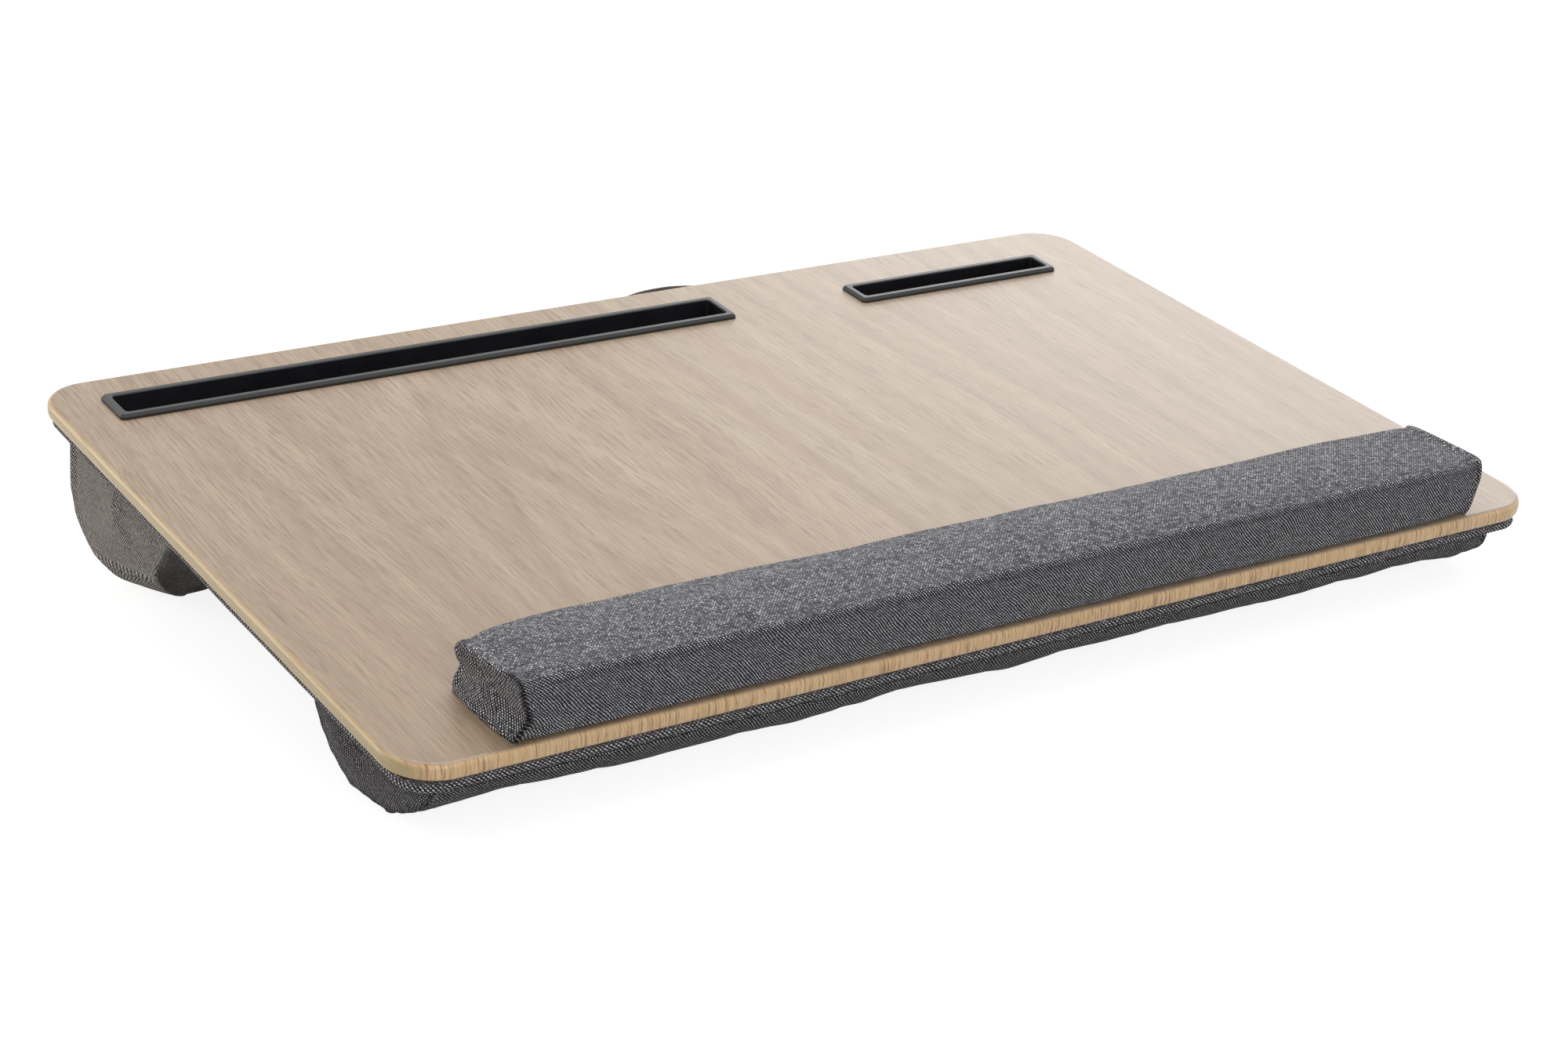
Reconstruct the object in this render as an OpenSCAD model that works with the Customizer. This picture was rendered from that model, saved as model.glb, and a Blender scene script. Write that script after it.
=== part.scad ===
// Cushioned lap desk: a laminated board with a tablet slot, a phone slot and a
// padded wrist rest, on a fabric base with two stuffed bolsters and a carry loop.
// Millimetres, +Z up, the desk standing on its bolsters with the user's side at -Y.

/* [Board] */
// Width of the board, left to right
board_w = 550; // [530:5:640]
// Depth of the board, front to back
board_d = 352; // [332:4:420]
// Thickness of the board
board_t = 7.2; // [6:0.2:10]
// Radius of the board's corners in plan
corner_r = 21; // [14:1:40]
// Radius of the rounded edge all the way round
edge_r = 2.6; // [1.6:0.1:2.8]
// Thickness of the printed wood film and of the backing sheet
film_t = 0.4; // [0.2:0.1:0.8]
// How far the film is folded under the board
film_wrap = 14; // [10:1:24]
// Corner radius of the backing sheet
backing_r = 6; // [2:1:10]

/* [Standing] */
// Slope of the board towards the user, in degrees
tilt = 8.9; // [6:0.1:11]
// Height of the board's front top edge above the ground
front_h = 31.5; // [30:0.5:40]

/* [Tablet slot] */
// Length of the tablet slot's opening
tablet_l = 299; // [200:1:310]
// Width of the tablet slot's opening
tablet_w = 17.2; // [12:0.2:22]
// Opening to the board's left edge
tablet_side = 25.6; // [20:0.2:34]
// Opening to the board's rear edge
tablet_back = 24.4; // [20:0.2:34]

/* [Phone slot] */
// Length of the phone slot's opening
phone_l = 110; // [70:1:120]
// Width of the phone slot's opening
phone_w = 12.6; // [9:0.2:18]
// Opening to the board's right edge
phone_side = 40; // [32:0.5:46]
// Opening to the board's rear edge
phone_back = 35.6; // [26:0.2:44]

/* [Slot trays] */
// Wall of a tray
tray_wall = 1.2; // [1:0.1:1.6]
// Thickness of a tray's floor
tray_floor = 1.2; // [0.8:0.1:1.4]
// Width of the rim that lies on the board
rim_w = 3.7; // [3:0.1:5]
// Height of the rim above the board
rim_h = 2.3; // [1.6:0.1:3.2]
// Bevel along the rim's outer edge
rim_bevel = 1.1; // [0.4:0.1:1.4]
// Bevel along the rim's inner edge
rim_lip = 0.5; // [0.2:0.1:0.8]
// Inner corner radius of a tray
tray_r = 1.6; // [1:0.1:3]
// Outer corner radius of the rim
rim_r = 2.4; // [1.6:0.1:4]
// Gap between a tray and its cut-out
tray_fit = 0.3; // [0.1:0.05:0.5]
// Gap between a tray and the fabric base
tray_lift = 0.4; // [0.2:0.1:0.8]
// Length of one snap barb under the board
barb_l = 9; // [6:1:14]
// Reach of a barb past the tray wall
barb_out = 0.9; // [0.6:0.1:1.2]
// Height of a barb
barb_h = 0.9; // [0.6:0.1:1.1]

/* [Wrist rest] */
// Board's side edge to the end of the wrist rest
rest_side = 38.5; // [24:0.5:60]
// How much shorter the front of the wrist rest is at each end
rest_taper = 6; // [0:0.5:8]
// Front edge of the board to the wrist rest
rest_front = 3; // [2:0.2:10]
// Depth of the wrist rest where it lies on the board
rest_d = 45; // [36:1:60]
// Height of the wrist rest's edges
rest_h = 25; // [18:0.5:30]
// Extra height in the middle of its top
rest_crown = 2.8; // [1:0.2:5]
// Swell of its front and rear faces
rest_bulge = 1.8; // [0.6:0.2:3]
// How far its ends are drawn in at mid height
rest_pinch = 3; // [1:0.5:6]
// How far the top of the wrist rest drops at its ends
rest_drop = 5; // [0:0.5:6]
// Thickness of the tape that holds it
tape_t = 0.5; // [0.3:0.1:1]
// Width of a tape strip
tape_w = 10; // [6:1:14]
// Long edges of the wrist rest to the tape
tape_in = 6; // [4:1:10]
// Ends of the wrist rest to the tape
tape_end = 12; // [8:1:20]

/* [Cushion base] */
// Board's edge to the fabric base, all round
base_in = 3.5; // [3:0.5:8]
// Corner radius of the fabric base
base_r = 13; // [8:1:24]
// Rounding of the fabric base's edge, as a share of its thickness
base_round = 0.45; // [0.3:0.05:0.48]
// Thickness of the fabric base
base_t = 3.8; // [3.2:0.1:5]
// Fabric thickness round the base panel
wrap_t = 0.6; // [0.4:0.1:0.8]
// Thickness of one half of a hook and loop strip
strip_t = 1; // [0.8:0.1:1.3]
// Width of a hook and loop strip
strip_w = 25; // [16:1:40]
// Length of a hook and loop strip
strip_l = 150; // [80:5:180]
// Front edge of the base to the front strips
strip_in = 30; // [20:2:60]
// Rear edge of the base to the front of the rear strips
strip_back = 95; // [75:5:140]

/* [Bolsters] */
// Fabric thickness of a bolster's cover
cover_t = 1.3; // [0.8:0.1:2]
// Depth of the rear bolster along the base
rear_top = 128; // [108:4:160]
// Depth of the rear bolster's foot
rear_foot = 24; // [14:1:34]
// Rear edge of the base to the rear bolster's foot
rear_foot_in = 24; // [14:1:34]
// How far the rear bolster's lower front corner comes forward at its ends
rear_corner = 46; // [20:2:60]
// Length over which that corner comes forward
corner_run = 30; // [26:2:50]
// Side edge of the board to the ends of the rear bolster
rear_side = 8.5; // [6:0.5:30]
// Depth of the front bolster along the base
front_top = 99; // [80:1:110]
// Depth of the front bolster's foot
front_foot = 27; // [18:1:36]
// Front edge of the base to the front bolster's foot
front_foot_in = 31; // [22:1:34]
// Left edge of the board to the front bolster
front_left = 7; // [6:0.5:30]
// Right edge of the board to the front bolster
front_right = 18; // [8:1:30]
// Swell of the bolsters' long faces
swell = 7; // [3:0.5:9]
// Swell of the bolsters' end panels
end_swell = 4; // [2:0.5:5]
// How far an end of a bolster slants in towards the base
end_lean = 3; // [0:0.5:5]
// Length over which the ends of the rear bolster round up
rear_round = 26; // [12:1:28]
// Length over which the ends of the front bolster round up
front_round = 14; // [10:1:24]
// Height of the lower edge of the rear bolster's end panels
rear_end_up = 18; // [6:1:26]
// Height of the lower edge of the front bolster's end panels
front_end_up = 3; // [2:0.5:7]
// Depth of the flat that the bolsters stand on
foot_cut = 0.5; // [0.3:0.1:0.8]

/* [Carry loop] */
// Middle of the loop, right of the board's middle
loop_x = 56; // [-60:2:80]
// Half of the distance between the loop's legs
loop_half = 33; // [28:1:45]
// Reach of the loop behind its seam
loop_reach = 27; // [22:1:40]
// Width of the strap
strap_w = 16; // [12:1:20]
// Thickness of the strap
strap_t = 1.3; // [1:0.1:1.4]
// Droop of the loop below the board's plane, in degrees
loop_droop = 24; // [5:1:35]
// Tablet slot's opening to the strap ends under the board
strap_clear = 4.4; // [3.4:0.2:8]
// Seam to the board's rear edge
seam_out = 1.2; // [1:0.1:2]
// Wire thickness of a staple
staple_d = 0.5; // [0.4:0.05:0.6]
// Crown width of a staple
staple_w = 10; // [8:1:12]
// Length of a staple's legs
staple_leg = 4.5; // [3:0.5:6]

/* [Hidden] */

// Small gap between pieces that are laid on or in each other
lay = 0.05;
// Gap left between two parts of the strap at the seam
seam_gap = 0.6;
// Gap between the base and the bolsters that are sewn to it
sewn_gap = 0.2;
// Size of the cover's hollow and of the foam in it, as shares of the wrist rest's section
cover_share = 0.88;
foam_share = 0.865;
// Gap between the foam's ends and the cover
foam_gap = 0.3;
// Upright share of a barb's height
barb_flat = 1 / 3;
// Gap round a staple's legs
staple_fit = 0.06;
// Overshoot of a cut past the surface it opens
over = 1;
// Facets of the board's corners, of edge rounds and of small corners
$fn = 48;

// Heights in the board's frame, where Z is 0 on the top face
board_under = -board_t;
base_top = board_under - 2 * strip_t;
base_under = base_top - base_t;
tray_under = base_top + tray_lift;
strap_mid = board_under - lay - strap_t / 2;
// Depths in the board's frame, where Y is 0 at the front edge
base_front = base_in;
base_back = board_d - base_in;
seam_y = board_d + seam_out;
// The strap ends stop short of the tablet tray
end_l = tablet_back - strap_clear;

// From the board's frame to heights and depths above the ground
function up_y(p) = p.y * cos(tilt) - p.z * sin(tilt);
function up_z(p) = p.y * sin(tilt) + p.z * cos(tilt) + front_h;
function ground_yz(y, z) = [up_y([0, y, z]), up_z([0, y, z])];

function bez(a, b, c, d, t) =
    a * pow(1 - t, 3) + 3 * b * t * pow(1 - t, 2) + 3 * c * t * t * (1 - t) + d * pow(t, 3);
function bez_run(a, b, c, d, n) = [for (i = [0:n - 1]) bez(a, b, c, d, i / n)];
function line_run(a, b, n) = [for (i = [0:n - 1]) a + (b - a) * i / n];
function mean(v) = v * [for (i = v) 1] / len(v);
function middle(ring) = [mean([for (p = ring) p.x]), mean([for (p = ring) p.y])];

// Closed skin over rings of equal length that follow each other towards +X
module skin(rings) {
    n = len(rings[0]);
    m = len(rings);
    first = mean_point(rings[0]);
    last = mean_point(rings[m - 1]);
    points = concat([for (r = rings) for (p = r) p], [first, last]);
    sides = [for (i = [0:m - 2]) for (j = [0:n - 1])
        let (k = (j + 1) % n, a = i * n, b = a + n)
        each [[a + j, b + j, b + k], [a + j, b + k, a + k]]];
    caps = [for (j = [0:n - 1])
        let (k = (j + 1) % n, b = (m - 1) * n)
        each [[m * n, j, k], [m * n + 1, b + k, b + j]]];
    polyhedron(points = points, faces = concat(sides, caps));
}
function mean_point(r) =
    [mean([for (p = r) p.x]), mean([for (p = r) p.y]), mean([for (p = r) p.z])];

// Board frame to the standing desk, with the origin under the middle of its box
module on_board() {
    translate([0, -box_mid, front_h]) rotate([tilt, 0, 0]) children();
}

// Plan outline of a rounded rectangle from its front left corner
module plan(w, d, r) {
    translate([r, 0]) square([w - 2 * r, d]);
    translate([0, r]) square([w, d - 2 * r]);
    for (x = [r, w - r]) for (y = [r, d - r]) translate([x, y]) circle(r);
}

// Sweeps a profile round a rectangle w by d; the profile's x starts at the corner's centre
module sweep_round(w, d, r) {
    for (s = [0, 1]) {
        translate([w / 2, d / 2, 0]) rotate([0, 0, 180 * s]) translate([-w / 2, -d / 2, 0]) {
            translate([w - r, d - r, 0]) rotate_extrude(angle = 90) children();
            translate([r, d - r, 0]) rotate([0, 0, 90]) rotate_extrude(angle = 90) children();
            translate([w - r, d - r, 0]) rotate([90, 0, 0]) linear_extrude(d - 2 * r) children();
            translate([r, d - r, 0]) rotate([90, 0, 90]) linear_extrude(w - 2 * r) children();
        }
    }
}

// Half of a plate's section, from the corner's centre out to its rounded edge
module plate_edge(r, t, e) {
    square([r - e, t]);
    translate([0, e]) square([r, t - 2 * e]);
    for (z = [e, t - e]) translate([r - e, z]) circle(e);
}

// Plate with rounded corners and rounded edges
module plate(w, d, t, r, e) {
    sweep_round(w, d, r) plate_edge(r, t, e);
    translate([r, r, 0]) cube([w - 2 * r, d - 2 * r, t]);
}

// Rounded plan opening that goes right through the board
module cut_out(l, w) {
    grow = tray_wall + tray_fit;
    translate([-grow, -grow, board_under - over])
        linear_extrude(board_t + 2 * over)
        plan(l + 2 * grow, w + 2 * grow, tray_r + grow);
}
module slot_places() {
    translate([tablet_side - board_w / 2, board_d - tablet_back - tablet_w, 0])
        cut_out(tablet_l, tablet_w);
    translate([board_w / 2 - phone_side - phone_l, board_d - phone_back - phone_w, 0])
        cut_out(phone_l, phone_w);
}

// Board plate drawn in by a skin's thickness on every side
module board_plate(skin_t) {
    translate([skin_t - board_w / 2, skin_t, board_under + skin_t])
        plate(board_w - 2 * skin_t, board_d - 2 * skin_t, board_t - 2 * skin_t,
            corner_r - skin_t, edge_r - skin_t);
}
// Field of the backing sheet on the underside, inside the folded film
module backing_field(gap) {
    in = film_wrap + gap;
    translate([in - board_w / 2, in, board_under])
        linear_extrude(film_t)
        plan(board_w - 2 * in, board_d - 2 * in, backing_r);
}

module board_core() {
    color([0.72, 0.58, 0.40]) on_board() difference() {
        board_plate(film_t);
        slot_places();
        staple_places() staple_legs(staple_fit);
    }
}
module wood_film() {
    color([0.80, 0.72, 0.62]) on_board() difference() {
        board_plate(0);
        board_plate(film_t);
        backing_field(0);
        slot_places();
        staple_places() staple_legs(staple_fit);
    }
}
module board_backing() {
    color([0.35, 0.33, 0.31]) on_board() difference() {
        backing_field(lay);
        slot_places();
        staple_places() staple_legs(staple_fit);
    }
}

// Section of a tray's rim outside the centres of its rounded corners
module rim_edge() {
    polygon([[0, 0], [rim_r, 0], [rim_r, rim_h - rim_bevel], [rim_r - rim_bevel, rim_h],
        [0, rim_h]]);
}
// Rim before it is opened: a plate with bevelled edges that lies on the board
module rim_plate(l, w) {
    full_l = l + 2 * rim_w;
    full_w = w + 2 * rim_w;
    translate([-rim_w, -rim_w, 0]) {
        sweep_round(full_l, full_w, rim_r) rim_edge();
        translate([rim_r, rim_r, 0]) cube([full_l - 2 * rim_r, full_w - 2 * rim_r, rim_h]);
    }
}
// Wedge that snaps under the board, its sloping side towards the floor
module barb() {
    top = board_under - lay;
    root = tray_wall / 2;
    lead = barb_h * (1 - barb_flat);
    rotate([90, 0, 90]) translate([0, 0, -barb_l / 2]) linear_extrude(barb_l)
        polygon([[root, top], [-barb_out, top], [-barb_out, top - barb_h * barb_flat],
            [root, top - barb_h - lead * root / barb_out]]);
}
// Moulded trough with a rim; origin at the front left of its opening
module tray(l, w, barbs) {
    step = l / barbs;
    inside_h = rim_h - tray_under;
    difference() {
        union() {
            rim_plate(l, w);
            translate([-tray_wall, -tray_wall, tray_under])
                linear_extrude(rim_h / 2 - tray_under)
                plan(l + 2 * tray_wall, w + 2 * tray_wall, tray_r + tray_wall);
        }
        translate([0, 0, tray_under + tray_floor]) linear_extrude(inside_h + over)
            plan(l, w, tray_r);
        translate([0, 0, rim_h]) sweep_round(l, w, tray_r)
            polygon([[tray_r - over, over], [tray_r - over, -rim_lip - over],
                [tray_r + rim_lip + over, over]]);
    }
    for (i = [0:barbs - 1]) {
        translate([step * (i + 0.5), -tray_wall, 0]) barb();
        translate([step * (i + 0.5), w + tray_wall, 0]) mirror([0, 1, 0]) barb();
    }
}
module tablet_tray() {
    color([0.09, 0.09, 0.10]) on_board()
        translate([tablet_side - board_w / 2, board_d - tablet_back - tablet_w, 0])
        tray(tablet_l, tablet_w, 4);
}
module phone_tray() {
    color([0.09, 0.09, 0.10]) on_board()
        translate([board_w / 2 - phone_side - phone_l, board_d - phone_back - phone_w, 0])
        tray(phone_l, phone_w, 2);
}

// Wrist rest: a box cushion with a crown, swelling faces and drawn in ends
rest_back = rest_front + rest_d;
rest_l = board_w - 2 * rest_side;
rest_edge = rest_h * 0.98;
function rest_section(crown) =
    let (a = [rest_front + 1.4, rest_h], b = [rest_front, tape_t],
        c = [rest_back, tape_t], d = [rest_back - 1, rest_edge])
    concat(
        bez_run(a, a - [2 + rest_bulge, rest_h * 0.1], b + [-rest_bulge, rest_h * 0.16], b, 5),
        line_run(b, c, 3),
        bez_run(c, c + [2 * rest_bulge, rest_h * 0.2], d + [2 + rest_bulge, -rest_h * 0.16], d, 5),
        bez_run(d, d + [-9, crown * 1.7], a + [7, crown * 1.6], a, 6));
// One ring of the rest: how far it lies from the end decides how much it is drawn in
function rest_ring(x, shrink) =
    let (side = sign(x), from_end = rest_l / 2 - abs(x), near = exp(-from_end / 9),
        crown = rest_crown * (1 - exp(-from_end / 24)), ring = rest_section(crown),
        narrow = 1 - 0.05 * near, c = middle(ring))
    [for (p = ring)
        let (h = (p.y - tape_t) / rest_h, bow = 1 - pow(2 * h - 1, 2),
            q = c + (p - c) * shrink)
        [x - side * near * (rest_pinch * bow + rest_taper * (rest_back - p.x) / rest_d),
            c.x + (q.x - c.x) * narrow, q.y - rest_drop * h * h * exp(-from_end / 12)]];
rest_stops = [0, 3, 8, 16, 30, 60, 120];
function rest_rings(wall, shrink) =
    let (half = rest_l / 2 - wall,
        low = [for (s = rest_stops) rest_ring(-half + s, shrink)],
        high = [for (i = [len(rest_stops) - 1:-1:0]) rest_ring(half - rest_stops[i], shrink)],
        first = low[0], last = high[len(high) - 1])
    concat([inner_ring(first, 0.55, 1.5)], low, [rest_ring(0.001, shrink)], high,
        [inner_ring(last, 0.55, -1.5)]);
// Ring drawn towards its own middle and moved along X, which domes or dents an end
function inner_ring(ring, share, dx) =
    let (c = mean_point(ring))
    [for (p = ring) [p.x + dx, c.y + (p.y - c.y) * share, c.z + (p.z - c.z) * share]];

module wrist_rest_cover() {
    color([0.45, 0.45, 0.47]) on_board() difference() {
        skin(rest_rings(0, 1));
        skin(rest_rings(cover_t, cover_share));
    }
}
module wrist_rest_foam() {
    color([0.85, 0.82, 0.70]) on_board() skin(rest_rings(cover_t + foam_gap, foam_share));
}
module wrist_rest_tape() {
    color([0.75, 0.75, 0.72]) on_board()
        for (y = [rest_front + tape_in, rest_back - tape_in - tape_w])
            translate([tape_end - rest_l / 2, y, 0])
                cube([rest_l - 2 * tape_end, tape_w, tape_t - lay]);
}

// Hook and loop strips between the board and the fabric base
module strip_places(z) {
    for (side = [-1, 1]) for (y = [base_front + strip_in, base_back - strip_back])
        translate([side * board_w / 4 - strip_l / 2, y, z]) cube([strip_l, strip_w, strip_t]);
}
module hook_strips() {
    color([0.12, 0.12, 0.12]) on_board() strip_places(board_under - strip_t);
}
module loop_strips() {
    color([0.18, 0.18, 0.19]) on_board() strip_places(base_top);
}

// Fabric base: a thin panel in a sewn envelope
module base_plate(in) {
    w = board_w - 2 * base_in - 2 * in;
    translate([-w / 2, base_front + in, base_under + in])
        plate(w, base_back - base_front - 2 * in, base_t - 2 * in,
            base_r - in, base_t * base_round - in);
}
module base_cover() {
    color([0.36, 0.36, 0.38]) on_board() difference() {
        base_plate(0);
        base_plate(wrap_t);
    }
}
module base_panel() {
    color([0.62, 0.52, 0.38]) on_board() base_plate(wrap_t + lay);
}

// Bolsters: the section runs down the front, along the foot, up the rear and back
seat = base_under - sewn_gap;
rear_a = ground_yz(base_back - rear_top, seat);
rear_b = ground_yz(base_back - 1, seat);
rear_f2 = [rear_b.x - rear_foot_in, -foot_cut];
rear_f1 = rear_f2 - [rear_foot, 0];
// The handles of the curves are shares of the bolster's width w and height h. At the ends
// the lower front corner is drawn forward and up, by the share of the run that is left.
function blend(a, b, share) = a + (b - a) * share;
function rear_section(puff, share) =
    let (w = rear_top, h = rear_a.y, f1 = rear_f1 + [-rear_corner, 0.26 * h] * share)
    concat(
        bez_run(rear_a,
            rear_a + blend([0.2 * w, -0.4 * (h + puff)], [0.11 * w, -0.15 * h], share),
            f1 + blend([-0.21 * w, 0.24 * h - 0.8 * puff], [-0.03 * w, 0.27 * h], share),
            f1, 7),
        line_run(f1, rear_f2, 2),
        bez_run(rear_f2, rear_f2 + [0.17 * w + puff, 0.16 * h],
            rear_b + [puff, -rear_b.y / 3], rear_b, 8),
        line_run(rear_b, rear_a, 3));
front_a = ground_yz(base_front + 1, seat);
front_b = ground_yz(base_front + front_top, seat);
front_f1 = [front_a.x + front_foot_in, -foot_cut];
front_f2 = front_f1 + [front_foot, 0];
front_slope = 0.3;
function front_section(puff) =
    let (w = front_top, h = front_a.y)
    concat(
        bez_run(front_a, front_a - [puff / 7, 0.47 * h],
            front_f1 - (0.07 * w + 0.8 * puff) * [1, -front_slope], front_f1, 7),
        line_run(front_f1, front_f2, 2),
        bez_run(front_f2, front_f2 + [0.12 * w + 0.6 * puff, 0.05 * h],
            front_b + [puff / 5 - 0.02 * w, -0.52 * h], front_b, 8),
        line_run(front_b, front_a, 3));

// One ring of a bolster: near an end its depth below the base is drawn up
function bolster_ring(ring, top, x, from_end, shrink, end_round, end_up, side) =
    let (gone = max(0, 1 - from_end / end_round), c = middle(ring), rise = tan(tilt),
        lift = end_up / (top.y + (c.x - top.x) * rise) * (1 - sqrt(1 - gone * gone)),
        drawn = [for (p = ring)
            let (x_in = p.x + (c.x - p.x) * end_draw * gone,
                below = top.y + (p.x - top.x) * rise - p.y)
            [x_in, top.y + (x_in - top.x) * rise - below * (1 - lift)]],
        m = middle(drawn), fit = shrink == 0 ? 1
            : 1 - shrink / (top.y + (m.x - top.x) * rise - m.y))
    [for (p = drawn)
        let (below = top.y + (p.x - top.x) * rise - p.y)
        [x - side * end_lean * gone * pow(1 - below / (top.y + (m.x - top.x) * rise), 2),
            m.x + (p.x - m.x) * fit, m.y + (p.y - m.y) * fit]];
bolster_stops = [0, 3, 7, 13, 22, 34, 55, 105, 175];
// Share by which an end of a bolster is drawn in from front and rear
end_draw = 0.04;
// Long faces swell most between the ends and have a few soft waves
function puff_at(from_end, x, waves) =
    swell * (0.8 + 0.2 * min(1, from_end / 90)) * (1 + 0.10 * sin(waves * x));
function bolster_rings(rear, low_x, high_x, wall) =
    let (n = len(bolster_stops), top = rear ? rear_a : front_a,
        low = low_x + (wall > 0 ? wall + 1 : 0), high = high_x - (wall > 0 ? wall + 1 : 0),
        places = concat([for (s = bolster_stops) [low + s, s]],
            [[(low + high) / 2, (high - low) / 2]],
            [for (i = [n - 1:-1:0]) [high - bolster_stops[i], bolster_stops[i]]]),
        body = [for (q = places)
            let (puff = puff_at(q.y, q.x, rear ? 1.9 : 3.1),
                ring = rear ? rear_section(puff, max(0, 1 - q.y / corner_run))
                    : front_section(puff))
            bolster_ring(ring, top, q.x, q.y, wall, rear ? rear_round : front_round,
                rear ? rear_end_up : front_end_up, sign(q.x - (low + high) / 2))],
        first = body[0], last = body[len(body) - 1], dome = end_swell * (wall > 0 ? 0.7 : 1))
    concat([inner_ring(first, 0.35, -dome), inner_ring(first, 0.75, -dome * 0.75)], body,
        [inner_ring(last, 0.75, dome * 0.75), inner_ring(last, 0.35, dome)]);
rear_low = rear_side - board_w / 2 + end_swell;
rear_high = board_w / 2 - rear_side - end_swell;
front_low = front_left - board_w / 2 + end_swell;
front_high = board_w / 2 - front_right - end_swell;

// Everything below the ground is taken off, which leaves the flat that the desk stands on
module cut_at_ground() {
    difference() {
        translate([0, -box_mid, 0]) children();
        translate([-board_w, -board_d - box_mid, -20]) cube([2 * board_w, 3 * board_d, 20]);
    }
}
module rear_bolster_cover() {
    color([0.40, 0.39, 0.38]) difference() {
        cut_at_ground() skin(bolster_rings(true, rear_low, rear_high, 0));
        translate([0, -box_mid, 0]) skin(bolster_rings(true, rear_low, rear_high, cover_t));
    }
}
module rear_bolster_filling() {
    color([0.92, 0.91, 0.88]) translate([0, -box_mid, 0])
        skin(bolster_rings(true, rear_low, rear_high, cover_t + 2 * lay));
}
module front_bolster_cover() {
    color([0.36, 0.36, 0.38]) difference() {
        cut_at_ground() skin(bolster_rings(false, front_low, front_high, 0));
        translate([0, -box_mid, 0]) skin(bolster_rings(false, front_low, front_high, cover_t));
    }
}
module front_bolster_filling() {
    color([0.92, 0.91, 0.88]) translate([0, -box_mid, 0])
        skin(bolster_rings(false, front_low, front_high, cover_t + 2 * lay));
}

// Carry loop: a strap whose legs leave the seam flat and turn on edge in the middle
loop_steps = 24;
turn_power = 1.3;
function loop_turn(a) = 90 * (1 - pow(abs(cos(a)), turn_power));
function loop_ring(a) =
    let (at = [loop_half * cos(a), loop_reach * sin(a)],
        raw = [cos(a) / loop_half, sin(a) / loop_reach], out = raw / norm(raw),
        turn = loop_turn(a), wide = [out.x * cos(turn), out.y * cos(turn), sin(turn)],
        thick = [-out.x * sin(turn), -out.y * sin(turn), cos(turn)],
        w = wide * strap_w / 2, t = thick * strap_t / 2, c = [at.x, at.y + seam_gap, 0])
    [c + w + t, c - w + t, c - w - t, c + w - t];
function droop(p) =
    [p.x + loop_x, seam_y + p.y * cos(loop_droop) + p.z * sin(loop_droop),
        strap_mid - p.y * sin(loop_droop) + p.z * cos(loop_droop)];
loop_rings = [for (i = [0:loop_steps])
    [for (p = loop_ring(180 - 180 * i / loop_steps)) droop(p)]];
module carry_loop() {
    color([0.22, 0.19, 0.18]) on_board() skin(loop_rings);
}
module strap_ends() {
    color([0.20, 0.17, 0.16]) on_board() difference() {
        for (side = [-1, 1])
            translate([loop_x + side * loop_half - strap_w / 2, board_d - end_l,
                strap_mid - strap_t / 2])
                cube([strap_w, end_l + seam_out - seam_gap, strap_t]);
        staple_places() staple_legs(staple_fit);
    }
}
// Wire staples that hold the strap ends to the underside of the board
staple_top = strap_mid - strap_t / 2 - staple_d;
module staple_legs(fit) {
    thick = staple_d + 2 * fit;
    for (x = [-staple_w / 2, staple_w / 2 - staple_d])
        translate([x - fit, -staple_d / 2 - fit, staple_top]) cube([thick, thick, staple_leg + fit]);
}
module staple() {
    translate([-staple_w / 2, -staple_d / 2, staple_top]) cube([staple_w, staple_d, staple_d]);
    staple_legs(0);
}
module staple_places() {
    for (side = [-1, 1]) for (share = [0.3, 0.75])
        translate([loop_x + side * loop_half, board_d - share * end_l, 0]) children();
}
module strap_staples() {
    color([0.75, 0.75, 0.76]) on_board() staple_places() staple();
}

// Middle of the whole desk from front to back, over the rest's face and the loop
box_front = min([for (r = rest_rings(0, 1)) for (p = r) up_y(p)]);
box_back = max([for (r = loop_rings) for (p = r) up_y(p)]);
box_mid = (box_front + box_back) / 2;

board_core();
wood_film();
board_backing();
tablet_tray();
phone_tray();
wrist_rest_cover();
wrist_rest_foam();
wrist_rest_tape();
hook_strips();
loop_strips();
base_cover();
base_panel();
rear_bolster_cover();
rear_bolster_filling();
front_bolster_cover();
front_bolster_filling();
strap_ends();
strap_staples();
carry_loop();
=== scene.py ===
"""Cushioned lap desk: fabric cushions, strap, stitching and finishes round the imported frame."""
import math

import bpy
import numpy as np
from mathutils import Matrix, Vector, noise

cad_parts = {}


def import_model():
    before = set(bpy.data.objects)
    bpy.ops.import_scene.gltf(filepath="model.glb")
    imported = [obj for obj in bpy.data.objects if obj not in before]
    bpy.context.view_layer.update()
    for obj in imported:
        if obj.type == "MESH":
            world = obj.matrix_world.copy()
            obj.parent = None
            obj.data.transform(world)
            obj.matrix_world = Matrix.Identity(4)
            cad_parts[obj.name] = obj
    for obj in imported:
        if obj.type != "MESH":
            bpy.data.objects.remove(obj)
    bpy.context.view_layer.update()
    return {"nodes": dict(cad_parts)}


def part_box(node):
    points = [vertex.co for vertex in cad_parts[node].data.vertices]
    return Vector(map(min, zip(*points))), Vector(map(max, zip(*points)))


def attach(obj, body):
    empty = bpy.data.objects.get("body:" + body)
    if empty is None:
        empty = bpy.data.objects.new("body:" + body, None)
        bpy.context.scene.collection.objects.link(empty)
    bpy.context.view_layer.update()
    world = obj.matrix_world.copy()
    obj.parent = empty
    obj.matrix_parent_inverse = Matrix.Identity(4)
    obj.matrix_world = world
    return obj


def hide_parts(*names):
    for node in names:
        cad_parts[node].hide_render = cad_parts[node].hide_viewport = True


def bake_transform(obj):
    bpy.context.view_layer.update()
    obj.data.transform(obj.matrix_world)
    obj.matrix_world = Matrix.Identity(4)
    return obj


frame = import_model()
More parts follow.
